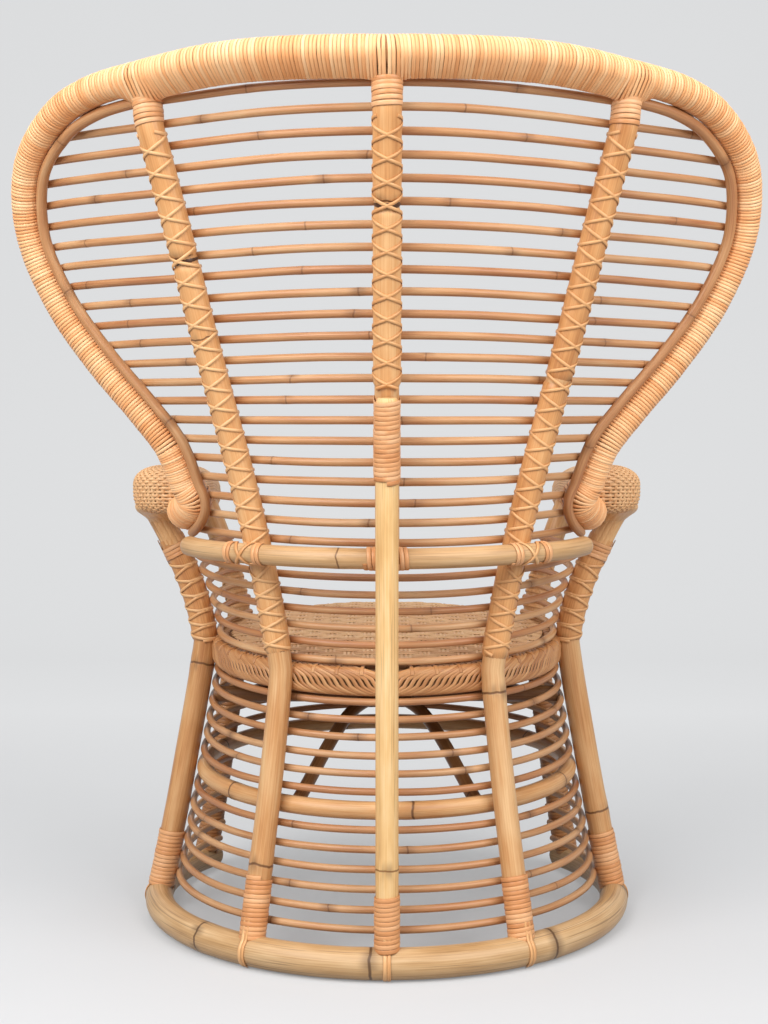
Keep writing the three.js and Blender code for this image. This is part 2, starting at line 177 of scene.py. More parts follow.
glow = put(tree, "ShaderNodeEmission", {"Color": paint("#f0f1f2"), "Strength": 1.0})
sheet = put(tree, "ShaderNodeMixShader",
            {"Fac": calc(tree, "MULTIPLY", seen, lit), 1: shader, 2: glow})
tree.links.new(sheet.outputs[0], tree.nodes["Material Output"].inputs["Surface"])
print("paper glows from", FLOOR_GLOW, "on the floor to", WALL_GLOW, "on the wall")

# %% Floor sheet
BEND, BEND_START, BEND_STEPS = 1.2, -2.6, 24
SHEET_HALF, SHEET_FRONT, SHEET_TOP = 14.0, 5.0, 5.0

bend = [(BEND_START - BEND * math.sin(a), BEND - BEND * math.cos(a))
        for a in np.linspace(0, math.pi / 2, BEND_STEPS)]
profile = [(SHEET_FRONT, 0.0)] + bend + [(BEND_START - BEND, SHEET_TOP)]
floor_mesh = bpy.data.meshes.new("floor")
floor_mesh.from_pydata([(x, y, z) for y, z in profile for x in (-SHEET_HALF, SHEET_HALF)], [],
                       [(2 * i, 2 * i + 1, 2 * i + 3, 2 * i + 2)
                        for i in range(len(profile) - 1)])
floor_mesh.polygons.foreach_set("use_smooth", [True] * len(floor_mesh.polygons))
floor_mesh.materials.append(paper)
floor = bpy.data.objects.new("floor", floor_mesh)
scene.collection.objects.link(floor)
print("floor:", len(floor_mesh.polygons), "strips")

# %% Lamps
ROOM_LIGHT = 0.27
LAMPS = {"lamp_left": ((1.3, 1.8, 2.0), (0, 0.1, 0.8), 1.8, 70),
         "lamp_right": ((-1.6, 1.6, 1.9), (0, 0.1, 0.9), 1.8, 54),
         "lamp_above": ((0.2, 0.2, 3.0), (0, 0, 0.4), 2.4, 32)}

for name, (place, aim, size, watts) in LAMPS.items():
    lamp = bpy.data.lights.new(name, "AREA")
    lamp.shape = "SQUARE"
    lamp.size = size
    lamp.energy = watts
    holder = bpy.data.objects.new(name, lamp)
    holder.location = place
    towards = np.array(aim) - np.array(place)
    holder.rotation_euler = (math.acos(-towards[2] / np.linalg.norm(towards)), 0,
                             math.atan2(-towards[0], towards[1]))
    scene.collection.objects.link(holder)
sky = bpy.data.worlds.new("room")
sky.use_nodes = True
sky.node_tree.nodes["Background"].inputs["Color"].default_value = (1, 1, 1, 1)
sky.node_tree.nodes["Background"].inputs["Strength"].default_value = ROOM_LIGHT
scene.world = sky
print("lamps:", len(LAMPS), "and room light", ROOM_LIGHT)

# %% [markdown]
# ## The cage as a rule
# Every pole and rod of the back lies on one surface, which narrows from the foot ring to the
# waist and then opens into the tall fan. Copying points off the solids would give faceted
# lines. Writing the surface down once as a rule, in millimetres round the ring's own axis,
# gives lines that are as smooth as needed and lie exactly where the solids are.

# %% Sizes of the cage
MM = 0.001
FOOT_RING, STAKE, SIDE_STAKE, LEG, PROP, ROD = 38, 29, 32, 32, 27, 10
MID_HOOP, ARM_RING, RIM, RIM_LINER, RAIL, BRACE = 22, 25, 38, 14, 22, 17
MID_HOOP_HEIGHT, SEAT_HEIGHT, WAIST_HEIGHT = 184, 336, 346
ARM_RING_HEIGHT, PROP_TOP, CROWN_HEIGHT = 499, 691, 1056
FOOT_RING_RADIUS, WAIST_RADIUS, CROWN_RADIUS = 310, 227, 414
FOOT_HEIGHT = FOOT_RING / 2 * math.cos(math.pi / 12)
HOOP_SLOPE, LEVEL_HEIGHT = 0.08, 766
WING, WING_START, WING_FULL = 165, 331, 906
SKIRT_CURVE, FAN_CURVE, WING_CURVE = 1.15, 1.5, 6
SLACK = 0.3


def standoff(diameter):
    """How far a pole's middle stands outside the rods that it touches."""
    return (ROD + diameter) / 2 + SLACK


CAGE_FOOT_RADIUS = FOOT_RING_RADIUS - standoff(SIDE_STAKE)
AXIS_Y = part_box("foot_ring")[1].y / MM - FOOT_RING_RADIUS - FOOT_HEIGHT
print("ring axis at y =", round(AXIS_Y, 2), "mm, foot of the rods at", CAGE_FOOT_RADIUS, "mm")


# %% The surface of the cage
def ease(value, low, high):
    """A soft step from 0 to 1 while value goes from low to high."""
    share = np.clip((value - low) / (high - low), 0, 1)
    return share * share * (3 - 2 * share)


def hoop_rise(height):
    """The hoops climb towards the front, most of all between the seat and the arms."""
    return (HOOP_SLOPE * ease(height, FOOT_HEIGHT, WAIST_HEIGHT)
            * (1 - ease(height, ARM_RING_HEIGHT, LEVEL_HEIGHT)))


def cage_radius(height, angle):
    """How far the cage is from its axis; the fan spreads more at the sides."""
    below = np.clip((WAIST_HEIGHT - height) / (WAIST_HEIGHT - FOOT_HEIGHT), 0, 1)
    above = np.clip((height - WAIST_HEIGHT) / (CROWN_HEIGHT - WAIST_HEIGHT), 0, 2)
    turned = np.radians(np.minimum(np.abs(angle), 90))
    wing = WING * ease(height, WING_START, WING_FULL) * np.sin(turned) ** WING_CURVE
    return (WAIST_RADIUS + (CAGE_FOOT_RADIUS - WAIST_RADIUS) * below ** SKIRT_CURVE
            + (CROWN_RADIUS - WAIST_RADIUS) * above ** FAN_CURVE + wing)


def cage(height, angle):
    """Points of the cage; angle 0 is the middle of the back, in degrees."""
    height, angle = np.broadcast_arrays(np.asarray(height, float), np.asarray(angle, float))
    radius, turned = cage_radius(height, angle), np.radians(angle)
    climb = hoop_rise(height) * radius * (1 - np.cos(turned))
    return np.stack([radius * np.sin(turned), radius * np.cos(turned), height + climb], -1)


def unit(vectors):
    """The same directions with length 1."""
    vectors = np.asarray(vectors, float)
    return vectors / np.maximum(np.linalg.norm(vectors, axis=-1, keepdims=True), 1e-9)


def facing(height, angle):
    """The direction that looks straight out of the cage."""
    height, angle = np.asarray(height, float), np.asarray(angle, float)
    across = cage(height, angle + 0.5) - cage(height, angle - 0.5)
    up = cage(height + 1, angle) - cage(height - 1, angle)
    return unit(np.cross(up, across))


def on_cage(height, angle, away):
    """Points that lie so far outside the cage as away says."""
    away = np.asarray(away, float)[..., None]
    return cage(height, angle) + facing(height, angle) * away


def in_frame(points):
    """Millimetres round the ring's axis, as metres in the frame of the solids."""
    return (np.asarray(points, float) + (0, AXIS_Y, 0)) * MM


print("out at the back, in the fan:", facing(600, 0).round(3))

# %% [markdown]
# ## Lines that remember how the cane lies
# A tree of nodes needs more than a path. It needs to know how thick the cane is, which way
# its face looks and which strand is which. These facts are kept as attributes on the points
# of a bare line mesh. `grow` runs a tree on such lines, keeps the result as a plain mesh,
# and lets it stand for the solids that it covers.

# %% Strands
ATTRIBUTES = {"outward": "FLOAT_VECTOR", "girth": "FLOAT", "tip": "FLOAT", "reach": "FLOAT",
              "beat": "FLOAT", "strand": "INT"}
lot = np.random.default_rng(7)


def strand(points, outward=(0, 0, 1), girth=1.0, tip=None, reach=0.0, beat=0.0):
    """One line of cane in millimetres: its path, its face, its radius and its count.

    A second core of radius tip may lie beside it, so far out as reach.
    """
    count = len(points)

    def all_along(value, *shape):
        return np.broadcast_to(np.asarray(value, float), (count, *shape))

    return {"points": in_frame(points), "outward": all_along(outward, 3),
            "girth": all_along(girth) * MM, "reach": all_along(reach) * MM,
            "beat": all_along(beat),
            "tip": all_along(girth if tip is None else tip) * MM}


def note(mesh, name, kind, values):
    """Writes one value for each point of a mesh."""
    layer = mesh.attributes.new(name, kind, "POINT")
    layer.data.foreach_set("vector" if kind == "FLOAT_VECTOR" else "value", np.ravel(values))


def lines_of(name, strands):
    """A mesh of bare lines that carries the facts of its strands."""
    mesh = bpy.data.meshes.new(name)
    sizes = [len(s["points"]) for s in strands]
    starts = np.cumsum([0] + sizes[:-1])
    edges = [(start + i, start + i + 1)
             for start, size in zip(starts.tolist(), sizes) for i in range(size - 1)]
    mesh.from_pydata(np.vstack([s["points"] for s in strands]).tolist(), edges, [])
    numbers = np.repeat(np.arange(len(sizes)), sizes).astype(np.int32)
    for key, kind in ATTRIBUTES.items():
        note(mesh, key, kind, numbers if key == "strand"
             else np.concatenate([s[key] for s in strands]))
    return mesh


print("a strand carries", ", ".join(ATTRIBUTES))


# %% Growth
def keep(piece, slot, *nodes):
    """The piece rides on the chair and stands for the solids named; slot is not used."""
    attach(piece, "root")
    if nodes:
        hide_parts(*nodes)


def grow(name, tree, strands, slot, *nodes, **sizes):
    """Runs a tree on strands and keeps what it grows as a plain mesh."""
    lines = lines_of(name + "_lines", strands)
    piece = bpy.data.objects.new(name, lines)
    growth = piece.modifiers.new(tree.name, "NODES")
    growth.node_group = tree
    for socket in tree.interface.items_tree:
        key = socket.name.lower().replace(" ", "_")
        if socket.in_out == "INPUT" and key in sizes:
            growth[socket.identifier] = sizes.pop(key)
    if sizes:
        raise ValueError(f"{tree.name} has no input for {sorted(sizes)}")
    scene.collection.objects.link(piece)
    graph = bpy.context.evaluated_depsgraph_get()
    grown = bpy.data.meshes.new_from_object(piece.evaluated_get(graph), depsgraph=graph,
                                            preserve_all_data_layers=True)
    piece.modifiers.remove(growth)
    piece.data = grown
    bpy.data.meshes.remove(lines)
    sides = np.zeros(len(grown.polygons), np.int32)
    grown.polygons.foreach_get("loop_total", sides)
    grown.polygons.foreach_set("use_smooth", sides == 4)
    keep(piece, slot, *nodes)
    print(f"{name}: {len(strands)} strands, {len(grown.polygons)} faces")


# %% [markdown]
# ## A tree that grows cane poles
# Rattan is a climbing palm. Its stem is nearly round, with a ring every hand's breadth where
# a leaf once sat, slightly swollen and dark. A bevelled curve would give a perfect pipe.
# The tree instead sweeps a circle whose radius swells near each ring, cuts the ends with a
# small chamfer, sways the line a little, and marks tone, grain and place for the finish. The
# place counts from ring to ring, and a strand's beat says where the counting starts.


# %% Tools for building trees
def new_tree(name, **sizes):
    """A Geometry Nodes tree with one named input for each size."""
    tree = bpy.data.node_groups.new(name, "GeometryNodeTree")
    tree.interface.new_socket("Geometry", in_out="INPUT", socket_type="NodeSocketGeometry")
    for label, value in sizes.items():
        kind = "NodeSocketInt" if isinstance(value, int) else "NodeSocketFloat"
        socket = tree.interface.new_socket(label.replace("_", " ").title(), in_out="INPUT",
                                           socket_type=kind)
        socket.default_value = value
    tree.interface.new_socket("Finish", in_out="INPUT", socket_type="NodeSocketMaterial")
    tree.interface.new_socket("Geometry", in_out="OUTPUT", socket_type="NodeSocketGeometry")
    return tree, tree.nodes.new("NodeGroupInput").outputs


def fade(tree, value, start, end, first=1.0, last=0.0):
    """A soft step from first to last while value goes from start to end."""
    node = put(tree, "ShaderNodeMapRange",
               {"Value": value, "From Min": start, "From Max": end,
                "To Min": first, "To Max": last}, interpolation_type="SMOOTHSTEP")
    return node.outputs["Result"]


def read(tree, name, kind="FLOAT"):
    """An attribute of the points."""
    return put(tree, "GeometryNodeInputNamedAttribute", {"Name": name}, data_type=kind).outputs[0]


def mark(tree, geometry, name, value, kind="FLOAT"):
    """Keeps a value on the points under a name."""
    return put(tree, "GeometryNodeStoreNamedAttribute",
               {"Geometry": geometry, "Name": name, "Value": value},
               data_type=kind, domain="POINT").outputs[0]


def chance(tree, number, seed, offset=0):
    """A random share for each number, the same at every run."""
    return put(tree, "FunctionNodeRandomValue",
               {2: 0.0, 3: 1.0, "ID": number, "Seed": calc(tree, "ADD", seed, offset)},
               data_type="FLOAT").outputs[1]


def finish_tree(tree, geometry, finish):
    """Every tree ends the same way, with real geometry and a finish."""
    real = put(tree, "GeometryNodeRealizeInstances", {"Geometry": geometry})
    dressed = put(tree, "GeometryNodeSetMaterial", {"Geometry": real, "Material": finish})
    put(tree, "NodeGroupOutput", {"Geometry": dressed})
    print(f"{tree.name}: {len(tree.nodes)} nodes")


# %% The pole tree
SWAY_SPREAD, SWAY_SCALE = (0.31, 0.17, 0.53), 5.0
SWELL_LONG, JOINT_INNER, JOINT_OUTER, JOINT_PRESS = 1.3, 0.0004, 0.0042, 0.6
CHAMFER_LONG, CHAMFER_SHARE = 0.003, 0.86

pole_tree, size = new_tree("cane_pole", sides=12, step=0.006, joint_spacing=0.2,
                           joint_swell=0.05, sway=0.0, seed=1)
t = pole_tree
line = put(t, "GeometryNodeMeshToCurve", {"Mesh": size["Geometry"]})
line = put(t, "GeometryNodeResampleCurve", {"Curve": line, "Length": size["Step"]}, mode="LENGTH")
number = read(t, "strand", "INT")
drift = put(t, "ShaderNodeTexNoise",
            {"Vector": vec(t, "ADD", put(t, "GeometryNodeInputPosition").outputs[0],
                           vec(t, "SCALE", SWAY_SPREAD, number)),
             "Scale": SWAY_SCALE, "Detail": 1.0}).outputs["Color"]
drift = vec(t, "SCALE", vec(t, "SUBTRACT", drift, (0.5, 0.5, 0.5)), size["Sway"])
line = put(t, "GeometryNodeSetPosition", {"Geometry": line, "Offset": drift})
along = put(t, "GeometryNodeSplineParameter").outputs["Length"]
whole = put(t, "GeometryNodeSplineLength").outputs["Length"]
place = calc(t, "ADD", calc(t, "DIVIDE", along, size["Joint Spacing"]), read(t, "beat"))
apart = calc(t, "MULTIPLY", size["Joint Spacing"],
             calc(t, "ABSOLUTE", calc(t, "SUBTRACT", place, calc(t, "ROUND", place))))
girth = read(t, "girth")
swelling = fade(t, apart, 0.0, calc(t, "MULTIPLY", girth, SWELL_LONG))
ring = fade(t, apart, JOINT_INNER, JOINT_OUTER)
bulge = calc(t, "MULTIPLY", size["Joint Swell"],
             calc(t, "SUBTRACT", swelling, calc(t, "MULTIPLY", ring, JOINT_PRESS)))
tip = fade(t, calc(t, "MINIMUM", along, calc(t, "SUBTRACT", whole, along)),
           0.0, CHAMFER_LONG, CHAMFER_SHARE, 1.0)
radius = calc(t, "MULTIPLY", calc(t, "MULTIPLY", girth, calc(t, "ADD", bulge, 1.0)), tip)
for label, value in (("tone", chance(t, number, size["Seed"])), ("along", along),
                     ("place", place), ("spacing", size["Joint Spacing"])):
    line = mark(t, line, label, value)
circle = put(t, "GeometryNodeCurvePrimitiveCircle", {"Resolution": size["Sides"], "Radius": 1.0})
circle = mark(t, circle, "turn", put(t, "GeometryNodeInputPosition"), "FLOAT_VECTOR")
body = put(t, "GeometryNodeCurveToMesh",
           {"Curve": line, "Profile Curve": circle, "Scale": radius, "Fill Caps": True})
turn = put(t, "ShaderNodeSeparateXYZ", {"Vector": read(t, "turn", "FLOAT_VECTOR")}).outputs
grain = put(t, "ShaderNodeCombineXYZ", {"X": calc(t, "MULTIPLY", turn["X"], girth),
                                        "Y": calc(t, "MULTIPLY", turn["Y"], girth),
                                        "Z": read(t, "along")})
body = mark(t, body, "grain", grain, "FLOAT_VECTOR")
finish_tree(t, body, size["Finish"])

# %% [markdown]
# ## Finishes for poles
# The skin of a cane pole is waxy, with fine fibres that run lengthwise, slow patches of
# paler and darker colour, and a brown stain round each ring. The fibres are noise that is
# stretched along the grain mark, so they follow every bend. One recipe with different
# colours serves the honey poles, the sun-bleached ones, the thin rods and the braces below
# the seat, whose dark colour is painted shade.


# %% Tools for finishes
def mark_of(tree, name, output="Fac"):
    """What a tree has marked on the points, for a shader."""
    return put(tree, "ShaderNodeAttribute", attribute_name=name).outputs[output]


def mix_of(tree, share, first, second):
    """So much of the second colour over the first as the share says."""
    return put(tree, "ShaderNodeMix", {0: share, 6: first, 7: second},
               data_type="RGBA").outputs[2]


def about(tree, value, middle, weight):
    """How far a share lies from its middle, times a weight."""
    return calc(tree, "MULTIPLY", calc(tree, "SUBTRACT", value, middle), weight)


def blend_of(tree, first, first_share, second, second_share):
    return calc(tree, "ADD", calc(tree, "MULTIPLY", first, first_share),
                calc(tree, "MULTIPLY", second, second_share))


def wire(tree, shader, colour, roughness, relief, strength, height):
    """Joins colour, roughness and relief to a shader."""
    tree.links.new(colour, shader.inputs["Base Color"])
    tree.links.new(roughness, shader.inputs["Roughness"])
    bump = put(tree, "ShaderNodeBump",
               {"Height": relief, "Strength": strength, "Distance": height})
    tree.links.new(bump.outputs["Normal"], shader.inputs["Normal"])


# %% Pole finishes
FIBRE, PATCH, SLANT, CRACK = (700, 700, 9), (70, 70, 12), (55, 55, 2), (520, 520, 7)
STAIN_LONG, STAIN_SHARE, SLANT_SHIFT = 0.016, 0.55, 0.008


def pole_finish(name, dark, middle, light, ring_colour, ring_share=0.85, ring_half=0.001,
                split=0.0):
    """Waxy cane skin: dark, middle and light tones, stained rings, and open splits."""
    finish, tree, shader = new_finish(name)
    tone = mark_of(tree, "tone")
    grain = vec(tree, "ADD", mark_of(tree, "grain", "Vector"),
                vec(tree, "SCALE", (1.0, 2.0, 3.0), tone))
    fibre = noise(tree, vec(tree, "MULTIPLY", grain, FIBRE), detail=3.0)
    patch = noise(tree, vec(tree, "MULTIPLY", grain, PATCH), detail=3.0)
    blend = calc(tree, "ADD", blend_of(tree, fibre, 0.45, patch, 0.55),
                 about(tree, tone, 0.5, 0.22))
    colour = ramp_of(tree, blend, (0.28, dark), (0.5, middle), (0.72, light))
    place, stained = mark_of(tree, "place"), paint(ring_colour)
    place = calc(tree, "MULTIPLY", calc(tree, "SUBTRACT", place, calc(tree, "ROUND", place)),
                 mark_of(tree, "spacing"))
    slant = noise(tree, vec(tree, "MULTIPLY", grain, SLANT))
    apart = calc(tree, "ABSOLUTE",
                 calc(tree, "ADD", place, about(tree, slant, 0.5, SLANT_SHIFT)))
    stain = calc(tree, "MULTIPLY", fade(tree, apart, 0.0, STAIN_LONG),
                 fade(tree, patch, 0.4, 0.62, 0.0, STAIN_SHARE))
    colour = mix_of(tree, stain, colour, stained)
    ring = fade(tree, apart, ring_half * 0.5, ring_half * 1.5)
    colour = mix_of(tree, calc(tree, "MULTIPLY", ring, ring_share), colour, stained)
    relief = calc(tree, "SUBTRACT", fibre, ring)
    if split:
        crack = fade(tree, noise(tree, vec(tree, "MULTIPLY", grain, CRACK)), 0.34, 0.4)
        colour = mix_of(tree, calc(tree, "MULTIPLY", crack, split), colour, stained)
        relief = calc(tree, "SUBTRACT", relief, crack)
    wire(tree, shader, colour, fade(tree, patch, 0.35, 0.65, 0.36, 0.5), relief, 0.25, 0.0008)
    return finish


honey_cane = pole_finish("honey_cane", "#ab6f3d", "#c9935e", "#dbb281", "#5f3a1c",
                         ring_half=0.0014)
olive_cane = pole_finish("olive_cane", "#997246", "#bf9768", "#d6b489", "#4f3218",
                         ring_half=0.0016, split=0.4)
ring_cane = pole_finish("ring_cane", "#a87d4d", "#c89e6e", "#dab68a", "#6b451f", split=0.35)
straw_cane = pole_finish("straw_cane", "#cb9658", "#e7bb7e", "#f1d2a1", "#7d5226", split=0.4)
rod_cane = pole_finish("rod_cane", "#a66941", "#c08a5b", "#d2a97d", "#6a3f20", ring_share=0.55)
skirt_cane = pole_finish("skirt_cane", "#9d633e", "#b68054", "#cb9f73", "#5d371c",
                         ring_share=0.55)
# shaded_cane is painted shade: the braces and rail under the seat are coloured dark for the chair's
# shadow they stand in.
shaded_cane = pole_finish("shaded_cane", "#6e4527", "#8d6038", "#a87c50", "#3c2413")
print("finishes so far:", len(bpy.data.materials))

# %% [markdown]
# ## Rods of the back, sides and skirt
# Forty thin rods bend round the cage. The upper ones of the skirt go all round, the lower ones
# and those of the sides run from front leg to front leg, and those of the back stop at the rim.
# Their ends are found by walking along each rod until the rim's line is near, as it was done
# for the solids, so that each rod tucks behind the rim.


# %% Curves through knots
def smooth_path(knots, steps):
    """The centripetal curve through the knots, with so many points for each span."""
    knots = np.asarray(knots, float)
    knots = np.vstack([2 * knots[0] - knots[1], knots, 2 * knots[-1] - knots[-2]])
    share = np.linspace(0, 1, steps, endpoint=False)[:, None]
    spans = []
    for before, start, end, after in zip(knots, knots[1:], knots[2:], knots[3:]):
        first, middle, last = (np.sqrt(np.linalg.norm(b - a)) for a, b in
                               ((before, start), (start, end), (end, after)))
        leave = middle * ((start - before) / first - (end - before) / (first + middle)
                          + (end - start) / middle)
        arrive = middle * ((end - start) / middle - (after - start) / (middle + last)
                           + (after - end) / last)
        square, cube = share ** 2, share ** 3
        spans.append((2 * cube - 3 * square + 1) * start + (cube - 2 * square + share) * leave
                     + (3 * square - 2 * cube) * end + (cube - square) * arrive)
    return np.vstack(spans + [knots[-2:-1]])


def cage_place(points):
    """The height and angle on the cage that belong to points on it or near it."""
    angle = np.degrees(np.arctan2(points[:, 0], points[:, 1]))
    height = points[:, 2].copy()
    for _ in range(8):
        lift = hoop_rise(height) * cage_radius(height, angle) * (1 - np.cos(np.radians(angle)))
        height = points[:, 2] - lift
    return height, angle


found = cage_place(cage(np.array([600.0]), np.array([50.0])))
print("height and angle found again:", np.round(found, 2).ravel().tolist())

# %% The rim's line
RIM_LINE = np.array([[0, 1], [24, 1.006], [41, 0.995], [51, 0.98], [58, 0.945], [66, 0.853],
                     [70.4, 0.715], [70.6, 0.56], [68, 0.425], [63.7, 0.3], [60.6, 0.214],
                     [61.2, 0.127], [61.9, 0.1], [64.1, 0.078], [68.7, 0.055]])
RIM_AWAY, RIM_STEPS = 12.3, 24

half_rim = on_cage(ARM_RING_HEIGHT + (CROWN_HEIGHT - ARM_RING_HEIGHT) * RIM_LINE[:, 1],
                   RIM_LINE[:, 0], RIM_AWAY)
rim_path = smooth_path(np.vstack([half_rim[:0:-1] * (-1, 1, 1), half_rim]), RIM_STEPS)
rim_height, rim_angle = cage_place(rim_path)
rim_out = facing(rim_height, rim_angle)
rim_inside = unit(np.cross(rim_out, unit(np.gradient(rim_path, axis=0))))
rim_length = np.linalg.norm(np.diff(rim_path, axis=0), axis=1).sum()
print("rim:", round(rim_length / 1000, 2), "m of roll")

# %% Rods
BORDER_TALL = 14.0
LEG_ANGLE, ALL_ROUND, ROD_CLEAR = 120, 179.9, 9


def evenly(low, high, count):
    """Heights in the middle of equal fields, so that the outer rods keep half a gap."""
    return low + (high - low) * (np.arange(count) + 0.5) / count


skirt_heights = np.concatenate([
    evenly(FOOT_RING, MID_HOOP_HEIGHT - MID_HOOP / 2, 6),
    evenly(MID_HOOP_HEIGHT + MID_HOOP / 2, SEAT_HEIGHT - BORDER_TALL, 6)])
side_heights = evenly(SEAT_HEIGHT + BORDER_TALL, ARM_RING_HEIGHT - ARM_RING, 6)
back_heights = evenly(ARM_RING_HEIGHT - ROD / 2, CROWN_HEIGHT - RIM / 2, 22)
rod_strands = {"skirt_rods": [], "side_rods": [], "back_rods": []}
for label, heights in (("skirt_rods", skirt_heights), ("side_rods", side_heights)):
    for height in heights:
        closed = MID_HOOP_HEIGHT < height < SEAT_HEIGHT
        reach = np.linspace(-1, 1, 201) * (ALL_ROUND if closed else LEG_ANGLE)
        rod_strands[label].append(strand(cage(height, reach), girth=ROD / 2 - SLACK,
                                         beat=lot.random()))
for height in back_heights:
    trial = np.arange(0, RIM_LINE[-1, 0], 0.1)
    gap = np.linalg.norm(cage(height, trial)[:, None] - rim_path[None, ::3], axis=2).min(axis=1)
    near = np.nonzero(gap < math.hypot(RIM_AWAY, ROD_CLEAR))[0]
    end = trial[near[0]] if len(near) else trial[-1]
    bow = cage(height, np.linspace(-end, end, 121))
    rod_strands["back_rods"].append(strand(bow, girth=ROD / 2, beat=lot.random()))
for seed, (label, strands) in enumerate(rod_strands.items(), 3):
    nodes = [f"{label[:-1]}_{i + 1}" for i in range(len(strands))]
    grow(label, pole_tree, strands, "rod", *nodes, sides=8, step=0.007, joint_spacing=0.31,
         joint_swell=0.12, sway=0.003, seed=seed,
         finish=skirt_cane if label == "skirt_rods" else rod_cane)

# %% [markdown]
# ## Poles of the frame
# Two bent stakes, two side stakes, two front legs and a prop stand on a foot ring. The prop
# carries a middle stake, a hoop and an arm ring tie the poles together, and a thin pole
# follows the rim. Each keeps the line of its solid, and only the arm ring stops sooner, short
# of the side stakes. A stake leans in a little at its top, where the rim is wound over it.

# %% Stakes and legs
SIDES = ((1, "left"), (-1, "right"))
WAIST_ANGLE, FAN_TURN, FAN_TALL = 32, 9, 460
TOP_AWAY, LEAN_START, LEAN_FULL = 9, CROWN_HEIGHT - 61, CROWN_HEIGHT - 16
STAKE_TOP = CROWN_HEIGHT - RIM / 2 + 5
SIDE_ANGLE, SIDE_TOP = 84, 548
FOOT_TOP = FOOT_HEIGHT + 8
RING_SPACING = 290
FIRST_RING = {"mid_stake_left": 88, "mid_stake_right": 296, "side_stake_left": 306,
              "side_stake_right": 104, "front_leg_left": 160, "front_leg_right": 120}


def middle_angle(height):
    """Where a bent stake stands on the cage: it turns outward above the waist."""
    share = np.clip((height - WAIST_HEIGHT) / FAN_TALL, 0, 1)
    return WAIST_ANGLE + FAN_TURN * np.sin(math.pi / 2 * share)


def upright(angle, bottom, top, diameter, steps=120):
    """Path and outward face of a pole on the cage; angle is a number or a rule of height."""
    heights = np.linspace(bottom, top, steps)
    angles = angle(heights) if callable(angle) else np.full(steps, float(angle))
    away = standoff(diameter)
    away = away - (away - TOP_AWAY) * ease(heights, LEAN_START, LEAN_FULL)
    return on_cage(heights, angles, away), facing(heights, angles)


uprights = {}
for side, name in SIDES:
    uprights["mid_stake_" + name] = (lambda h, s=side: s * middle_angle(h), STAKE_TOP, STAKE)
    uprights["side_stake_" + name] = (side * SIDE_ANGLE, SIDE_TOP, SIDE_STAKE)
    uprights["front_leg_" + name] = (side * LEG_ANGLE, SIDE_TOP, LEG)
stake_strands = [strand(upright(angle, FOOT_TOP, top, width)[0], girth=width / 2,
                        beat=-FIRST_RING[name] / RING_SPACING)
                 for name, (angle, top, width) in uprights.items()]
centre_line = upright(0, ARM_RING_HEIGHT - ARM_RING, STAKE_TOP, STAKE)[0]
stake_strands.append(strand(centre_line, girth=STAKE / 2, beat=0.4))
grow("upright_poles", pole_tree, stake_strands, "pole", *uprights, "centre_stake", sides=20,
     step=0.005, joint_spacing=RING_SPACING * MM, joint_swell=0.045, sway=0.003, seed=11,
     finish=honey_cane)

# %% Foot ring and hoop
FOOT_LINE, FOOT_ENDS = FOOT_HEIGHT + 0.5, LEG_ANGLE + 4
HOOP_AWAY = -(MID_HOOP - ROD) / 2

turned = np.radians(np.linspace(-FOOT_ENDS, FOOT_ENDS, 181))
foot_line = np.stack([FOOT_RING_RADIUS * np.sin(turned), FOOT_RING_RADIUS * np.cos(turned),
                      np.full(len(turned), FOOT_LINE)], 1)
grow("foot_ring_pole", pole_tree, [strand(foot_line, girth=FOOT_HEIGHT)], "pole", "foot_ring",
     sides=24, step=0.005, joint_spacing=0.23, joint_swell=0.025, seed=6, finish=olive_cane)
mid_hoop_line = on_cage(MID_HOOP_HEIGHT, np.linspace(-ALL_ROUND, ALL_ROUND, 241), HOOP_AWAY)
grow("mid_hoop_pole", pole_tree, [strand(mid_hoop_line, girth=MID_HOOP / 2)], "pole", "mid_hoop",
     sides=18, step=0.006, joint_spacing=0.25, joint_swell=0.04, seed=4, finish=honey_cane)

# %% Arm ring and prop
RING_AWAY = standoff(STAKE) + STAKE / 2 + SLACK + ARM_RING / 2
PROP_AWAY = RING_AWAY + ARM_RING / 2 + SLACK + PROP / 2
HEAD_AWAY = standoff(STAKE) + STAKE / 2 + SLACK + PROP / 2
RING_TURN, RING_END = 41, 61


def arm_ring_path(angles):
    """The arm ring lies outside the stakes and draws in towards the side stakes."""
    inward = ease(np.abs(angles), RING_TURN, SIDE_ANGLE)
    return on_cage(ARM_RING_HEIGHT, angles,
                   RING_AWAY + (standoff(SIDE_STAKE) - RING_AWAY) * inward)


ring_line = arm_ring_path(np.linspace(-RING_END, RING_END, 161))
grow("arm_ring_pole", pole_tree, [strand(ring_line, girth=ARM_RING / 2, beat=0.3)],
     "pale_pole", "arm_ring", sides=20, step=0.005, joint_spacing=0.52, joint_swell=0.03, seed=9,
     finish=ring_cane)
prop_line = smooth_path([(0, FOOT_RING_RADIUS, FOOT_HEIGHT),
                         on_cage(ARM_RING_HEIGHT, 0, PROP_AWAY),
                         on_cage(PROP_TOP, 0, HEAD_AWAY)], 60)
prop_line = prop_line[prop_line[:, 2] > FOOT_TOP]
grow("prop_pole", pole_tree, [strand(prop_line, girth=PROP / 2, beat=0.84)],
     "pale_pole", "back_prop", sides=20, step=0.005, joint_spacing=0.6, joint_swell=0.03, seed=9,
     finish=straw_cane)

# %% Poles below the seat
BRACE_ANGLE, BRACE_BEND = 27.0, 38

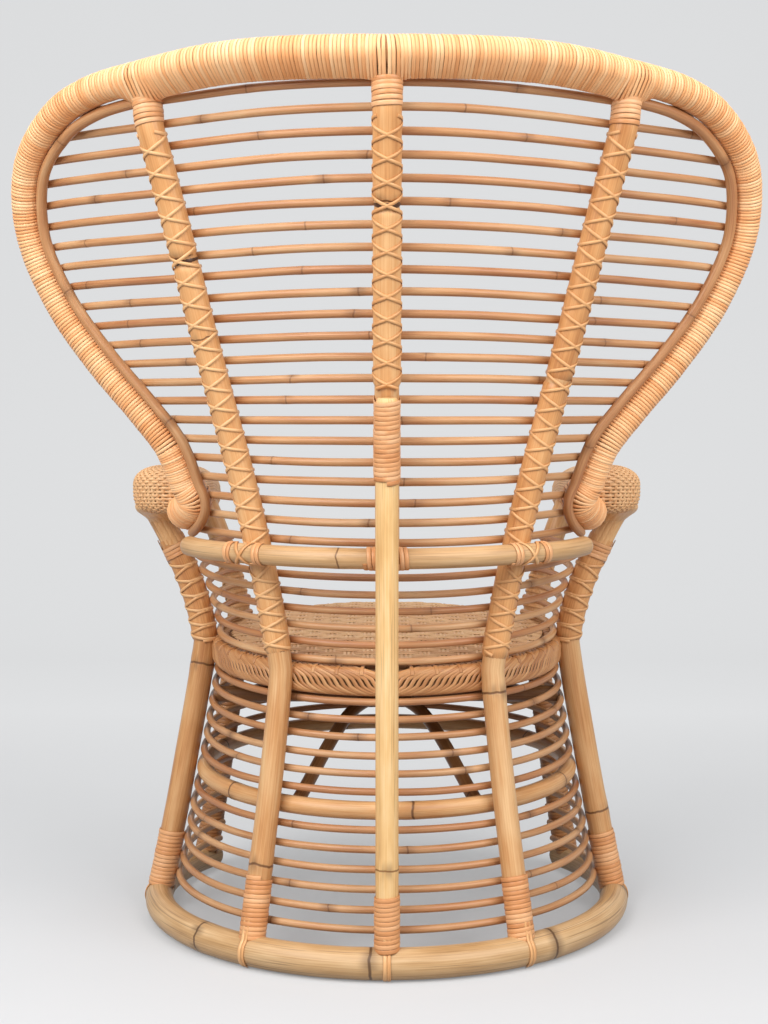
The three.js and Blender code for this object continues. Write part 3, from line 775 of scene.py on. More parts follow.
rail_low, rail_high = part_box("seat_rail")
rail_y = (rail_low.y + rail_high.y) / 2 / MM - AXIS_Y
rail_z = (rail_low.z + rail_high.z) / 2 / MM
rail_reach = rail_high.x / MM
rail_line = np.linspace((-rail_reach, rail_y, rail_z), (rail_reach, rail_y, rail_z), 40)
brace_foot = on_cage(MID_HOOP_HEIGHT, np.array([BRACE_ANGLE, -BRACE_ANGLE]), HOOP_AWAY)
brace_top = np.array([0, rail_y + (RAIL + BRACE) / 2 + SLACK, rail_z])
brace_bend = brace_top * 0.9 + brace_foot * 0.1
brace_bend[:, 0] = (BRACE_BEND, -BRACE_BEND)
brace_line = smooth_path([brace_foot[0], brace_bend[0], brace_top, brace_bend[1], brace_foot[1]],
                         20)
# The rail and braces take shaded_cane, whose dark colour is painted shade.
grow("under_seat_poles", pole_tree,
     [strand(rail_line, girth=RAIL / 2), strand(brace_line, girth=BRACE / 2)],
     "shaded_pole", "seat_rail", "seat_brace", sides=14, step=0.006, joint_spacing=0.24,
     joint_swell=0.05, sway=0.003, seed=2, finish=shaded_cane)

# %% [markdown]
# ## A tree that winds cane strip
# The rim is one long roll with a flat strip wound round it hundreds of times, and every
# joint of the frame has a shorter winding. Arraying rings would show that each turn closes on
# itself. The tree walks along the core, turns the point round it once for each pitch, and
# sweeps a flat strip along that coil. Each turn gets a tone, a lift and a slip of its own.
# Where a second core lies beside the first, the coil is pulled tight round both.


# %% A flat strip
def strip_profile(tree, size):
    """A flat, slightly rounded strip, with a mark that says how far across it a point is."""
    circle = put(tree, "GeometryNodeCurvePrimitiveCircle",
                 {"Resolution": size["Strip Sides"], "Radius": 1.0})
    spot = put(tree, "ShaderNodeSeparateXYZ", {"Vector": put(tree, "GeometryNodeInputPosition")})
    circle = mark(tree, circle, "across", spot.outputs["Y"])
    flat = put(tree, "ShaderNodeCombineXYZ",
               {"X": calc(tree, "MULTIPLY", size["Strip Thickness"], 0.5),
                "Y": calc(tree, "MULTIPLY", size["Strip Width"], 0.5), "Z": 1.0})
    return put(tree, "GeometryNodeTransform", {"Geometry": circle, "Scale": flat})


def sweep_strip(tree, line, size):
    """The strip lies flat: its face looks the way of the outward mark."""
    line = put(tree, "GeometryNodeSetCurveNormal",
               {"Curve": line, "Normal": read(tree, "outward", "FLOAT_VECTOR")}, mode="FREE")
    return put(tree, "GeometryNodeCurveToMesh",
               {"Curve": line, "Profile Curve": strip_profile(tree, size), "Fill Caps": True})


# %% The winding tree
TOUCH, SOFT_TURN, SUNK, NEXT_STRAND = 0.00001, 0.17, 0.4, 1000

winding_tree, size = new_tree("strip_winding", pitch=0.005, strip_width=0.005,
                              strip_thickness=0.0014, strip_sides=8, turn_points=16,
                              looseness=0.0004, seed=1)
t = winding_tree
core = put(t, "GeometryNodeMeshToCurve", {"Mesh": size["Geometry"]})
core = put(t, "GeometryNodeResampleCurve",
           {"Curve": core, "Length": calc(t, "DIVIDE", size["Pitch"], size["Turn Points"])},
           mode="LENGTH")
turns = calc(t, "DIVIDE", put(t, "GeometryNodeSplineParameter").outputs["Length"], size["Pitch"])
turned = calc(t, "MULTIPLY", turns, 2 * math.pi)
tangent = put(t, "GeometryNodeInputTangent").outputs[0]
outward = read(t, "outward", "FLOAT_VECTOR")
face = vec(t, "NORMALIZE", vec(t, "SUBTRACT", outward, vec(
    t, "SCALE", tangent, vec(t, "DOT_PRODUCT", outward, tangent))))
side = vec(t, "CROSS_PRODUCT", tangent, face)
cosine, sine = calc(t, "COSINE", turned), calc(t, "SINE", turned)
girth, tip, reach = read(t, "girth"), read(t, "tip"), read(t, "reach")
looks = vec(t, "ADD", vec(t, "SCALE", face, cosine), vec(t, "SCALE", side, sine))
leave = calc(t, "DIVIDE", calc(t, "SUBTRACT", girth, tip), calc(t, "MAXIMUM", reach, TOUCH))
second = fade(t, cosine, calc(t, "SUBTRACT", leave, SOFT_TURN), calc(t, "ADD", leave, SOFT_TURN),
              0.0, 1.0)
radius = calc(t, "ADD", girth, calc(t, "MULTIPLY", calc(t, "SUBTRACT", tip, girth), second))
spot = vec(t, "ADD", vec(t, "SCALE", looks, radius),
           vec(t, "SCALE", face, calc(t, "MULTIPLY", reach, second)))
whorl = calc(t, "ADD", calc(t, "FLOOR", turns),
             calc(t, "MULTIPLY", read(t, "strand", "INT"), NEXT_STRAND))
lift = calc(t, "ADD", calc(t, "MULTIPLY", size["Strip Thickness"], SUNK),
            calc(t, "MULTIPLY", chance(t, whorl, size["Seed"], 3), size["Looseness"]))
slip = calc(t, "MULTIPLY", calc(t, "SUBTRACT", chance(t, whorl, size["Seed"], 5), 0.5),
            calc(t, "MULTIPLY", sine, size["Looseness"]))
core = mark(t, core, "tone", chance(t, whorl, size["Seed"]))
core = mark(t, core, "along", calc(t, "MULTIPLY", turned, girth))
offset = vec(t, "ADD", vec(t, "ADD", spot, vec(t, "SCALE", looks, lift)),
             vec(t, "SCALE", tangent, slip))
core = mark(t, core, "wound_to", offset, "FLOAT_VECTOR")
core = mark(t, core, "outward", looks, "FLOAT_VECTOR")
core = put(t, "GeometryNodeSetPosition",
           {"Geometry": core, "Offset": read(t, "wound_to", "FLOAT_VECTOR")})
finish_tree(t, sweep_strip(t, core, size), size["Finish"])

# %% [markdown]
# ## A tree that lays single strips
# Lashings, straps and weaving are single strips on lines of their own. The same flat sweep
# serves them. A wave input lifts and drops a strip as its beat counts on, and that is all
# that is needed to weave it over and under the strips that it crosses.

# %% The strip tree
strip_tree, size = new_tree("laid_strip", strip_width=0.0034, strip_thickness=0.001,
                            strip_sides=6, wave=0.0, seed=1)
t = strip_tree
line = put(t, "GeometryNodeMeshToCurve", {"Mesh": size["Geometry"]})
line = mark(t, line, "tone", chance(t, read(t, "strand", "INT"), size["Seed"]))
line = mark(t, line, "along", put(t, "GeometryNodeSplineParameter").outputs["Length"])
swing = calc(t, "COSINE", calc(t, "MULTIPLY", read(t, "beat"), math.pi))
rise = calc(t, "ADD", calc(t, "MULTIPLY", size["Strip Thickness"], 0.5),
            calc(t, "MULTIPLY", swing, size["Wave"]))
line = put(t, "GeometryNodeSetPosition",
           {"Geometry": line, "Offset": vec(t, "SCALE", read(t, "outward", "FLOAT_VECTOR"), rise)})
finish_tree(t, sweep_strip(t, line, size), size["Finish"])

# %% [markdown]
# ## Finishes for strips
# A strip is split from the skin or the core of the cane, so it shows straight fibres along its
# length and slightly rough edges. The edges are darkened, partly for the darker cut edge of the
# cane and partly as painted shade in the gaps between neighbouring strips. No two turns have
# the same colour: peach, pink and straw lie side by side. The tone mark picks the colour of a
# turn, and the across mark finds its edges.

# %% Strip finishes
ACROSS_FIBRES, ALONG_FIBRES, TONE_SPREAD, CLOUD = 4.0, 28.0, 90.0, 9.0
EDGE_START = 0.72


def strip_finish(name, *tones, edge="#6e4322", edge_share=0.6):
    """Split cane: a colour for each turn or strip from its tones and fibres, with edges darkened
    partly for the cut edge and partly as painted shade between strips.
    """
    finish, tree, shader = new_finish(name)
    tone, along, across = (mark_of(tree, key) for key in ("tone", "along", "across"))
    spot = put(tree, "ShaderNodeCombineXYZ",
               {"X": calc(tree, "MULTIPLY", across, ACROSS_FIBRES),
                "Y": calc(tree, "MULTIPLY", along, ALONG_FIBRES),
                "Z": calc(tree, "MULTIPLY", tone, TONE_SPREAD)})
    fibre = noise(tree, spot, detail=4.0)
    cloud = noise(tree, object_place(tree), CLOUD)
    share = calc(tree, "ADD", blend_of(tree, tone, 0.4, fibre, 0.6), about(tree, cloud, 0.5, 0.34))
    colour = ramp_of(tree, share, *zip(np.linspace(0.2, 0.8, len(tones)).tolist(), tones))
    # Darker edges: partly the cut edge of the cane, partly painted shade in the gaps between
    # strips.
    rim = fade(tree, calc(tree, "ABSOLUTE", across), EDGE_START, 1.0, 0.0, edge_share)
    colour = mix_of(tree, rim, colour, paint(edge))
    wire(tree, shader, colour, fade(tree, fibre, 0.3, 0.7, 0.36, 0.54), fibre, 0.2, 0.0004)
    return finish


rim_strip = strip_finish("rim_strip", "#e79c5f", "#f6b277", "#fcc38b", "#ffd2a0",
                         edge_share=0.55)
wound_strip = strip_finish("wound_strip", "#c47f4b", "#d69661", "#e1a774", "#e9b88b",
                           edge_share=0.42)
lashing_strip = strip_finish("lashing_strip", "#cf9159", "#dfa870", "#eabb86", edge_share=0.55)
woven_strip = strip_finish("woven_strip", "#cb9666", "#dfae7b", "#edc796", edge="#74492a",
                           edge_share=0.45)
# shaded_strip is painted shade: a darker strip for the front legs' wraps, which stand in the shade
# inside the chair.
shaded_strip = strip_finish("shaded_strip", "#8f5c34", "#a97446", "#bd8958")
print("finishes so far:", len(bpy.data.materials))

# %% [markdown]
# ## The wound rim
# Between the two bent stakes the winding takes in the roll and the thin pole below it, so its
# section is an egg. Further out it holds the roll alone and the thin pole runs free beside it.
# Both follow the rim down to the arms, where the roll bends in under the arm and grows fuller.
# The bends are wound closer, because the strip has to fan out round them without a gap.

# %% Rim roll
CURL, CURL_FULL, CURL_SHIFT, CURL_SWELL = 96, 40, 11, 5.0
EGG_REACH, EGG_FULL, EGG_END = 22.3, 41.5, 45
STAKE_ANGLES, STAKE_SPREAD, STAKE_LIFT, STAKE_ROOM = (0, 40.5), 2.0, 2, 7
STRIP_BUILD, CORE_CLEAR = 1.9, 0.4

from_end = np.minimum(np.arange(len(rim_path)), np.arange(len(rim_path))[::-1])
curled = 1 - ease(from_end, CURL_FULL, CURL)
on_top = 1 - ease(np.abs(rim_angle), EGG_FULL, EGG_END)
over_stake = np.exp(-((np.abs(rim_angle[:, None]) - STAKE_ANGLES) / STAKE_SPREAD) ** 2).max(axis=1)
drawn_in = CURL_SHIFT * curled * (0.6 + 0.4 * ease(from_end, 0, CURL_FULL))
drawn_in = np.sign(rim_path[:, 0]) * drawn_in
rim_lay = rim_path + rim_out * (STAKE_LIFT * over_stake)[:, None]
rim_lay[:, 0] -= drawn_in
roll = RIM / 2 - STRIP_BUILD + CURL_SWELL * curled
core_cane = pole_finish("core_cane", "#a9703f", "#bd8450", "#cc9761", "#a9703f")
grow("rim_core", pole_tree, [strand(rim_lay, girth=roll - CORE_CLEAR)], "wound", "rim_roll",
     sides=16, step=0.004, joint_spacing=5.0, joint_swell=0.0, seed=1, finish=core_cane)

# %% Rim winding
RIM_PITCH, CURL_PITCH = 0.0043, 0.0029

held_tip = RIM_LINER / 2 - STRIP_BUILD + STAKE_ROOM * over_stake
winding_parts = {"rim_winding": (slice(CURL, -CURL), RIM_PITCH),
                 "curl_winding_right": (slice(0, CURL + 1), CURL_PITCH),
                 "curl_winding_left": (slice(-CURL - 1, None), CURL_PITCH)}
for seed, (label, (part, pitch)) in enumerate(winding_parts.items(), 5):
    wound = strand(rim_lay[part], rim_inside[part], roll[part],
                   tip=(roll + (held_tip - roll) * on_top)[part],
                   reach=(EGG_REACH * on_top)[part])
    grow(label, winding_tree, [wound], "wound", pitch=pitch, strip_width=0.0047,
         strip_thickness=0.0015, strip_sides=6, turn_points=20, looseness=0.0004, seed=seed,
         finish=rim_strip)
print("turns on the rim: about", round(rim_length * MM / RIM_PITCH))

# %% Thin pole beside the rim
LINER_GAP = (RIM + RIM_LINER) / 2 + 2 * SLACK
LINER_FREE = 40

liner_place = (rim_path + rim_inside * (LINER_GAP + CURL_SWELL * curled)[:, None]
               - rim_out * RIM_AWAY)
liner_place[:, 0] -= drawn_in
liner_height, liner_angle = cage_place(liner_place)
liner_line = on_cage(liner_height, liner_angle, RIM_AWAY)
free_liner = [liner_line[liner_angle < -LINER_FREE], liner_line[liner_angle > LINER_FREE]]
grow("rim_liner_pole", pole_tree,
     [strand(part, girth=RIM_LINER / 2 - SLACK, beat=0.3) for part in free_liner],
     "pole", "rim_liner", sides=12, step=0.005, joint_spacing=0.21, joint_swell=0.05, seed=8,
     finish=rod_cane)

# %% [markdown]
# ## Lashings of the stakes
# Above the waist each stake is faced with a skin of split cane, and two strips climb round it
# the opposite ways. They cross on the face at every rod and pass between the rods behind, so
# one lashing holds every rod. The two strips are coils whose turn follows the rods' heights, and
# most of each turn is spent on the face, which makes the crosses tall and straight. Where one
# length of skin ends and the next begins, a notch is left between them, filled with a dark band
# of painted shadow. The same painted shadow sits between the prop's top and the centre skin.

# %% Skins and coils
FACE_SHARE = 0.86
lashed_heights = np.concatenate([side_heights, back_heights])


def skin(angle, bottom, top, diameter, girth):
    """A length of stake with a skin of so much radius as girth."""
    return strand(*upright(angle, bottom, top, diameter, 60), girth)


def crossed(angle, bottom, top, diameter, girth, rods=lashed_heights):
    """Two coils round a stake, one each way, that meet on its face at every rod."""
    heights = np.linspace(bottom, top, 900)
    path, out = upright(angle, bottom, top, diameter, len(heights))
    side = np.cross(unit(np.gradient(path, axis=0)), out)
    beyond = (heights - rods[0]) / (rods[1] - rods[0])
    turn = np.where(heights < rods[0], beyond, np.interp(heights, rods, np.arange(len(rods))))
    beside = turn - np.round(turn)
    around = np.interp(np.abs(beside), [0, FACE_SHARE / 2, 0.5], [0, math.pi / 2, math.pi])
    coils = []
    for way in (1, -1):
        spin = way * np.sign(beside) * around
        looks = out * np.cos(spin)[:, None] + side * np.sin(spin)[:, None]
        coils.append(strand((path + looks * girth)[::2], looks[::2]))
    return coils


print("rods to lash on each stake:", len(lashed_heights))

# %% Skins and lashings
SKIN, SIDE_SKIN, NOTCH_DEEP = STAKE / 2 + 1.8, SIDE_STAKE / 2 + 1.4, 0.7
SKIN_TOP, LASHING_TOP = CROWN_HEIGHT - 24, CROWN_HEIGHT - 61
SIDE_LASHED, LASH_ABOVE = (348, 497), 4
SKIN_ENDS = {"left": (368, 846, 854), "right": (361, 707, 711), "centre": (698, 897, 905)}
skins, lashings, notches = [], [], []


def notch(angle, bottom, top):
    notches.append(skin(angle, bottom, top, STAKE, SKIN - NOTCH_DEEP))


def face_stake(angle, start, end, restart):
    """Skin from start to the top, in two lengths with a notch between them."""
    skins.extend([skin(angle, start, end, STAKE, SKIN),
                  skin(angle, restart, SKIN_TOP, STAKE, SKIN)])
    notch(angle, end, restart)


for side, name in SIDES:
    bent, ends = uprights["mid_stake_" + name][0], SKIN_ENDS[name]
    face_stake(bent, *ends)
    lashings += crossed(bent, ends[0] + LASH_ABOVE, LASHING_TOP, STAKE, SKIN)
    skins.append(skin(side * SIDE_ANGLE, *SIDE_LASHED, SIDE_STAKE, SIDE_SKIN))
    lashings += crossed(side * SIDE_ANGLE, *SIDE_LASHED, SIDE_STAKE, SIDE_SKIN, side_heights)
    lashings += crossed(side * LEG_ANGLE, *SIDE_LASHED, LEG, LEG / 2, side_heights)
notch(0, PROP_TOP, SKIN_ENDS["centre"][0])
face_stake(0, *SKIN_ENDS["centre"])
lashings += crossed(0, SKIN_ENDS["centre"][0], LASHING_TOP, STAKE, SKIN)
skin_cane = pole_finish("skin_cane", "#bb7c47", "#d89c62", "#e8b67e", "#5f3a1c")
# The notch finish is painted shadow: a dark band for the shade in the hollow of each notch.
notch_cane = pole_finish("notch_cane", "#3f2413", "#4b2c18", "#5a371f", "#3f2413")
grow("stake_skins", pole_tree, skins, "pole", sides=20, step=0.005, joint_spacing=0.4,
     joint_swell=0.0, seed=21, finish=skin_cane)
grow("skin_notches", pole_tree, notches, "pole", sides=20, step=0.004, joint_spacing=0.4,
     joint_swell=0.0, seed=22, finish=notch_cane)
grow("crossed_lashings", strip_tree, lashings, "wound", strip_width=0.0046,
     strip_thickness=0.0014, strip_sides=6, seed=14, finish=lashing_strip)

# %% [markdown]
# ## Wraps and straps
# Every foot is wrapped a dozen times just above the foot ring, and two strips run from the
# wrap down over the ring. The front legs are wrapped all the way up to the seat. Shorter wraps
# close the stakes under the rim and the side stakes below their sleeves, hold the prop's head
# to the middle stake, and bind the arm ring on both sides of each pole. There two more strips
# cross over the ring.

# %% Wraps
WRAP_OVER, FOOT_WRAP_TOP, PROP_WRAP_TOP = 0.4, 98, 102
RIM_WRAP, ARM_WRAP = (CROWN_HEIGHT - 54, SKIN_TOP), (468, 485)
HEAD_WRAP = (PROP_TOP - 99, PROP_TOP - 9)
RING_CROSSINGS, RING_WRAP_HALF = (-36.3, 0, 36.3), 1.3
BESIDE_STAKE, BESIDE_PROP = 4.4, 3.6


def wrapped(angle, bottom, top, diameter, girth):
    """A length of stake to be wound; the coil's seam is kept at the hidden inner side."""
    path, out = upright(angle, bottom, top, diameter, 40)
    return strand(path, -out, girth)


wraps, leg_wraps = [], []
for name, (angle, _, width) in uprights.items():
    if name.startswith("front_leg"):
        leg_wraps.append(wrapped(angle, FOOT_TOP, SEAT_HEIGHT, width, width / 2))
    else:
        wraps.append(wrapped(angle, FOOT_TOP, FOOT_WRAP_TOP, width, width / 2 + WRAP_OVER))
    if name.startswith("mid_stake"):
        wraps.append(wrapped(angle, *RIM_WRAP, width, SKIN))
    if name.startswith("side_stake"):
        wraps.append(wrapped(angle, *ARM_WRAP, width, SIDE_SKIN + WRAP_OVER))
wraps.append(wrapped(0, *RIM_WRAP, STAKE, SKIN))
on_foot = (prop_line[:, 2] > FOOT_TOP) & (prop_line[:, 2] < PROP_WRAP_TOP)
wraps.append(strand(prop_line[on_foot], (0, -1, 0), PROP / 2 + WRAP_OVER))
head_heights = np.linspace(*HEAD_WRAP, 40)
prop_y, stake_y = (np.interp(head_heights, pole[:, 2], pole[:, 1])
                   for pole in (prop_line, centre_line))
wraps.append(strand(np.stack([0 * stake_y, stake_y, head_heights], 1), (0, 1, 0),
                    STAKE / 2 + WRAP_OVER, tip=PROP / 2 + WRAP_OVER, reach=prop_y - stake_y))
for middle in RING_CROSSINGS:
    for beside in (-1, 1):
        start = middle + beside * (BESIDE_STAKE if middle else BESIDE_PROP)
        reach = start + np.linspace(-RING_WRAP_HALF, RING_WRAP_HALF, 12)
        wraps.append(strand(arm_ring_path(reach), -facing(ARM_RING_HEIGHT, reach), ARM_RING / 2))
# The front legs' wraps take shaded_strip, darkened with painted shade.
for label, coils, finish in (("wraps", wraps, wound_strip), ("leg_wraps", leg_wraps, shaded_strip)):
    grow(label, winding_tree, coils, "wound", pitch=0.0054, strip_width=0.0058,
         strip_thickness=0.0014, strip_sides=8, turn_points=18, looseness=0.0006, seed=17,
         finish=finish)

# %% Straps
STRAP_APART, STRAP_HEIGHTS = 2.3, np.array([52.0, 40.0])
FOOT_OVER, STRAP_OVER = 0.2, 0.4
CROSS_HALF, CROSS_TURN = 3.4, 110
UP = np.array([0, 0, 1.0])

straps = []
ring_bend = np.radians(np.linspace(50, -62, 16))[:, None]
for name, (angle, _, width) in {"prop": (0, PROP_TOP, PROP), **uprights}.items():
    angle = float(angle(0.0)) if callable(angle) else angle
    if name == "prop":
        looks = np.array([[0, 1.0, 0]] * 2)
        held = np.stack([np.zeros(2), np.interp(STRAP_HEIGHTS, prop_line[:, 2], prop_line[:, 1]),
                         STRAP_HEIGHTS], 1)
    else:
        looks = facing(STRAP_HEIGHTS, np.full(2, angle))
        held = on_cage(STRAP_HEIGHTS, np.full(2, angle), standoff(width))
    turned = math.radians(angle)
    away = np.array([math.sin(turned), math.cos(turned), 0])
    beside = np.array([math.cos(turned), -math.sin(turned), 0])
    over = np.cos(ring_bend) * away + np.sin(ring_bend) * UP
    ring_middle = away * FOOT_RING_RADIUS + (0, 0, FOOT_LINE)
    path = np.vstack([held + looks * (width / 2), ring_middle + over * (FOOT_HEIGHT + FOOT_OVER)])
    for shift in (-STRAP_APART, STRAP_APART):
        straps.append(strand(path + beside * shift, np.vstack([looks, over])))
share = np.linspace(-1, 1, 20)
tilt = np.radians(share * CROSS_TURN)[:, None]
for middle in RING_CROSSINGS:
    for way in (1, -1):
        reach = middle + way * share * CROSS_HALF
        looks = unit(facing(ARM_RING_HEIGHT, reach) * np.cos(tilt) + UP * np.sin(tilt))
        straps.append(strand(arm_ring_path(reach) + looks * (ARM_RING / 2 + STRAP_OVER), looks))
grow("straps", strip_tree, straps, "wound", strip_width=0.0052, strip_thickness=0.0014,
     strip_sides=6, seed=23, finish=lashing_strip)

# %% [markdown]
# ## Woven arms
# An arm is a flat basket, woven over a core. Ribs of split cane run from the lower edge over
# the top, and one long strip goes round and round the arm, over one rib and under the next.
# With an odd number of ribs the strip changes sides by itself at every round, which is how
# basket makers do it, so a single spiral line gives the whole weave. Its last half round runs
# along the top and closes the ridge. A basket hangs fuller at the back, over its neck.

# %% The arm's surface
ARM_WIDTH, ARM_THICKNESS, ARM_LENGTH, ARM_LIFT = 92, 52, 330, 75
ARM_BEHIND, ARM_BOW, ARM_DIP = 113, 8, 16
ARM_SAG, SAG_START, SAG_FULL = 9, 0.35, 0.75
ARM_INWARD, ARM_TAPER, BLUNT_ABOVE, BLUNT_BELOW = 3, 0.3, 0.84, 0.55
ARM_X = on_cage(ARM_RING_HEIGHT, SIDE_ANGLE, standoff(SIDE_STAKE))[0]
ARM_Z = ARM_RING_HEIGHT + ARM_LIFT
STRAIGHT = ARM_LENGTH - ARM_THICKNESS
STRAIGHT_SHARE = 0.64


def blunted(value, power):
    """A sine or cosine made fuller, with its sign kept."""
    return np.sign(value) * np.abs(value) ** power


def arm_section(climb):
    """How far out and how far up a point of the arm's section lies, as shares."""
    blunt = np.where(climb < 0, BLUNT_BELOW, BLUNT_ABOVE)
    return np.cos(climb) ** blunt, blunted(np.sin(climb), blunt)


def arm_surface(climb, around, side):
    """Points and faces on an arm: climb in degrees from its edge, around as a share of a round."""
    climb, around = np.broadcast_arrays(np.radians(climb), np.asarray(around, float))
    half = (around % 1.0) * 2
    back = np.where(half >= 1, -1.0, 1.0)
    share = half % 1.0
    sweep = np.clip((share - STRAIGHT_SHARE) / (1 - STRAIGHT_SHARE), 0, 1) * math.pi
    wide, deep = ARM_WIDTH / 2, ARM_THICKNESS / 2
    level, up = arm_section(climb)
    run = STRAIGHT * (np.clip(share / STRAIGHT_SHARE, 0, 1) - 0.5)
    y = back * (run + deep * level * np.sin(sweep))
    forward = -y / (ARM_LENGTH / 2)
    ahead = np.maximum(forward, 0)
    x = back * wide * (1 - ARM_TAPER * ahead) * level * blunted(np.cos(sweep), BLUNT_ABOVE)
    sag = ARM_SAG * ease(-forward, SAG_START, SAG_FULL) * (climb < 0)
    points = np.stack([x + ARM_X - ARM_INWARD - ARM_BOW * forward ** 2,
                       y + ARM_BEHIND - ARM_LENGTH / 2,
                       (deep + sag) * up + ARM_Z - ARM_DIP * ahead ** 2], -1)
    looks = unit(np.stack([back * np.cos(climb) * np.cos(sweep) / wide,
                           back * np.cos(climb) * np.sin(sweep) / deep, np.sin(climb) / deep], -1))
    return points * (side, 1, 1), looks * (side, 1, 1)


print("arm middle at x =", round(ARM_X, 1), "z =", ARM_Z)

# %% Cores and linings
MERGE = 0.0003

lining, tree, shader = new_finish("basket_lining")
murk = noise(tree, object_place(tree), 160.0, 3.0)
tree.links.new(ramp_of(tree, murk, (0.35, "#6b4527"), (0.65, "#8f623b")),
               shader.inputs["Base Color"])
shader.inputs["Roughness"].default_value = 0.8


def solid_piece(name, rows, closed_rows, finish):
    """A skin over rows of points, merged where rows meet, with its faces turned outward."""
    count, width = rows.shape[:2]
    form = bmesh.new()
    corners = [[form.verts.new(p) for p in row] for row in in_frame(rows)]
    for i in range(count if closed_rows else count - 1):
        for j in range(width):
            after = (i + 1) % count
            form.faces.new((corners[i][j], corners[i][(j + 1) % width],
                            corners[after][(j + 1) % width], corners[after][j]))
    bmesh.ops.remove_doubles(form, verts=form.verts[:], dist=MERGE)
    bmesh.ops.recalc_face_normals(form, faces=form.faces[:])
    mesh = bpy.data.meshes.new(name)
    form.to_mesh(mesh)
    form.free()
    mesh.polygons.foreach_set("use_smooth", [True] * len(mesh.polygons))
    mesh.materials.append(finish)
    piece = bpy.data.objects.new(name, mesh)
    scene.collection.objects.link(piece)
    print(f"{name}: {len(mesh.polygons)} faces")
    return piece


# %% Arm weave
ROUNDS, RIBS, CORE_STEPS, CORE_DEEP = 28, 125, 96, 1.6
ALL_ROUNDS = ROUNDS + 0.5
LOWEST, HIGHEST, RIB_LOWEST, RIB_HIGHEST, CORE_CLIMB = -78, 89.2, -76, 89, 89.9

climbs = np.radians(np.linspace(LOWEST, HIGHEST, 400))
levels, lifts = arm_section(climbs)
walk = np.concatenate([[0], np.cumsum(np.hypot(ARM_WIDTH / 2 * np.diff(levels),
                                               ARM_THICKNESS / 2 * np.diff(lifts)))])
steps = np.linspace(0, ALL_ROUNDS, int(ALL_ROUNDS * RIBS * 3) + 1)
spiral = np.degrees(np.interp(steps / ROUNDS * walk[-1], walk, climbs))
for side, name in SIDES:
    path, looks = arm_surface(spiral, steps, side)
    grow("arm_weave_" + name, strip_tree, [strand(path, looks, beat=steps * RIBS)], "woven",
         strip_width=0.0047, strip_thickness=0.0015, strip_sides=6, wave=0.0008, seed=31,
         finish=woven_strip)
    rib_climbs = np.linspace(RIB_LOWEST, RIB_HIGHEST, 26)
    ribs = [strand(*arm_surface(rib_climbs, (i + 0.5) / RIBS, side)) for i in range(RIBS)]
    grow("arm_ribs_" + name, strip_tree, ribs, "woven", strip_width=0.0048,
         strip_thickness=0.0012, strip_sides=6, seed=33, finish=woven_strip)
    layers = [arm_surface(climb, np.arange(CORE_STEPS) / CORE_STEPS, side)
              for climb in np.linspace(-CORE_CLIMB, CORE_CLIMB, 25)]
    core = solid_piece("arm_core_" + name, np.stack([p - out * CORE_DEEP for p, out in layers]),
                       False, lining)
    keep(core, "woven", "arm_" + name)

# %% [markdown]
# ## Woven seat
# The seat is a round, slightly crowned panel, set in a thick border. Weavers run across it in
# bundles of three and pass over and under blocks of three stays, so that a low view shows light
# rows with short dark dashes. Weavers and stays are laid by the same strip tree, and a lining
# below them closes the dips.

# %% Seat panel
SEAT_RISE = float(hoop_rise(SEAT_HEIGHT))
SEAT_MIDDLE = float(cage_radius(SEAT_HEIGHT, 0))
BORDER_HALF, BORDER_OUTER = 10.0, WAIST_RADIUS + ROD / 2 + 4
PANEL_EDGE = BORDER_OUTER - 2 * BORDER_HALF - SLACK
PANEL_TOP = SEAT_HEIGHT + BORDER_TALL + 5
PANEL_CROWN, PANEL_BOTTOM, LINING_DEEP = 9, PANEL_TOP - 14, 0.6


def tilted(points):
    """The seat climbs to the front as the hoops do."""
    points = np.array(points, float)
    points[..., 2] += SEAT_RISE * (SEAT_MIDDLE - points[..., 1])
    return points


def panel_height(x, y):
    """The seat's crown, highest in its middle."""
    return PANEL_TOP + PANEL_CROWN * (1 - (x ** 2 + y ** 2) / PANEL_EDGE ** 2)


print("seat panel: radius", round(PANEL_EDGE), "mm, rise to the front", round(SEAT_RISE, 3))

# %% Weavers and stays
WEAVER_GAP, BUNDLE, WEAVER_LIFT = 4.7, 3, 0.8
BLOCK_GAP, STAY_GAP, STAY_LIFT = 24.0, 5.3, 0.6
SEAT_FACE = (0, SEAT_RISE, 1)

panel_reach = PANEL_EDGE - 2
weavers, stays = [], []
for index, y in enumerate(np.arange(-panel_reach + 3, panel_reach - 2, WEAVER_GAP)):
    reach = math.sqrt(panel_reach ** 2 - y ** 2)
    x = np.arange(-reach, reach, BLOCK_GAP / 6)
    path = np.stack([x, np.full(len(x), y), panel_height(x, y) + WEAVER_LIFT], 1)
    weavers.append(strand(tilted(path), SEAT_FACE, beat=x / BLOCK_GAP + index // BUNDLE))
for block in np.arange(-8, 9) * BLOCK_GAP:
    for x in block + np.array([-1, 0, 1]) * STAY_GAP:
        reach = math.sqrt(panel_reach ** 2 - x ** 2)
        y = np.linspace(-reach, reach, 40)
        path = np.stack([np.full(len(y), x), y, panel_height(x, y) + STAY_LIFT], 1)
        stays.append(strand(tilted(path), SEAT_FACE))
grow("seat_weavers", strip_tree, weavers, "woven", strip_width=0.005, strip_thickness=0.0017,
     strip_sides=6, wave=0.0006, seed=41, finish=woven_strip)
grow("seat_stays", strip_tree, stays, "woven", strip_width=0.0042, strip_thickness=0.0016,
     strip_sides=6, seed=43, finish=woven_strip)


# %% Seat lining
def turned_rows(section, steps):
    """Sections of a turned form, one for each step round its axis."""
    angles = np.linspace(0, 2 * math.pi, steps, endpoint=False)
    section = np.asarray(section, float)
    return np.stack([tilted(np.stack([section[:, 0] * math.sin(a), section[:, 0] * math.cos(a),
                                      section[:, 1]], 1)) for a in angles])


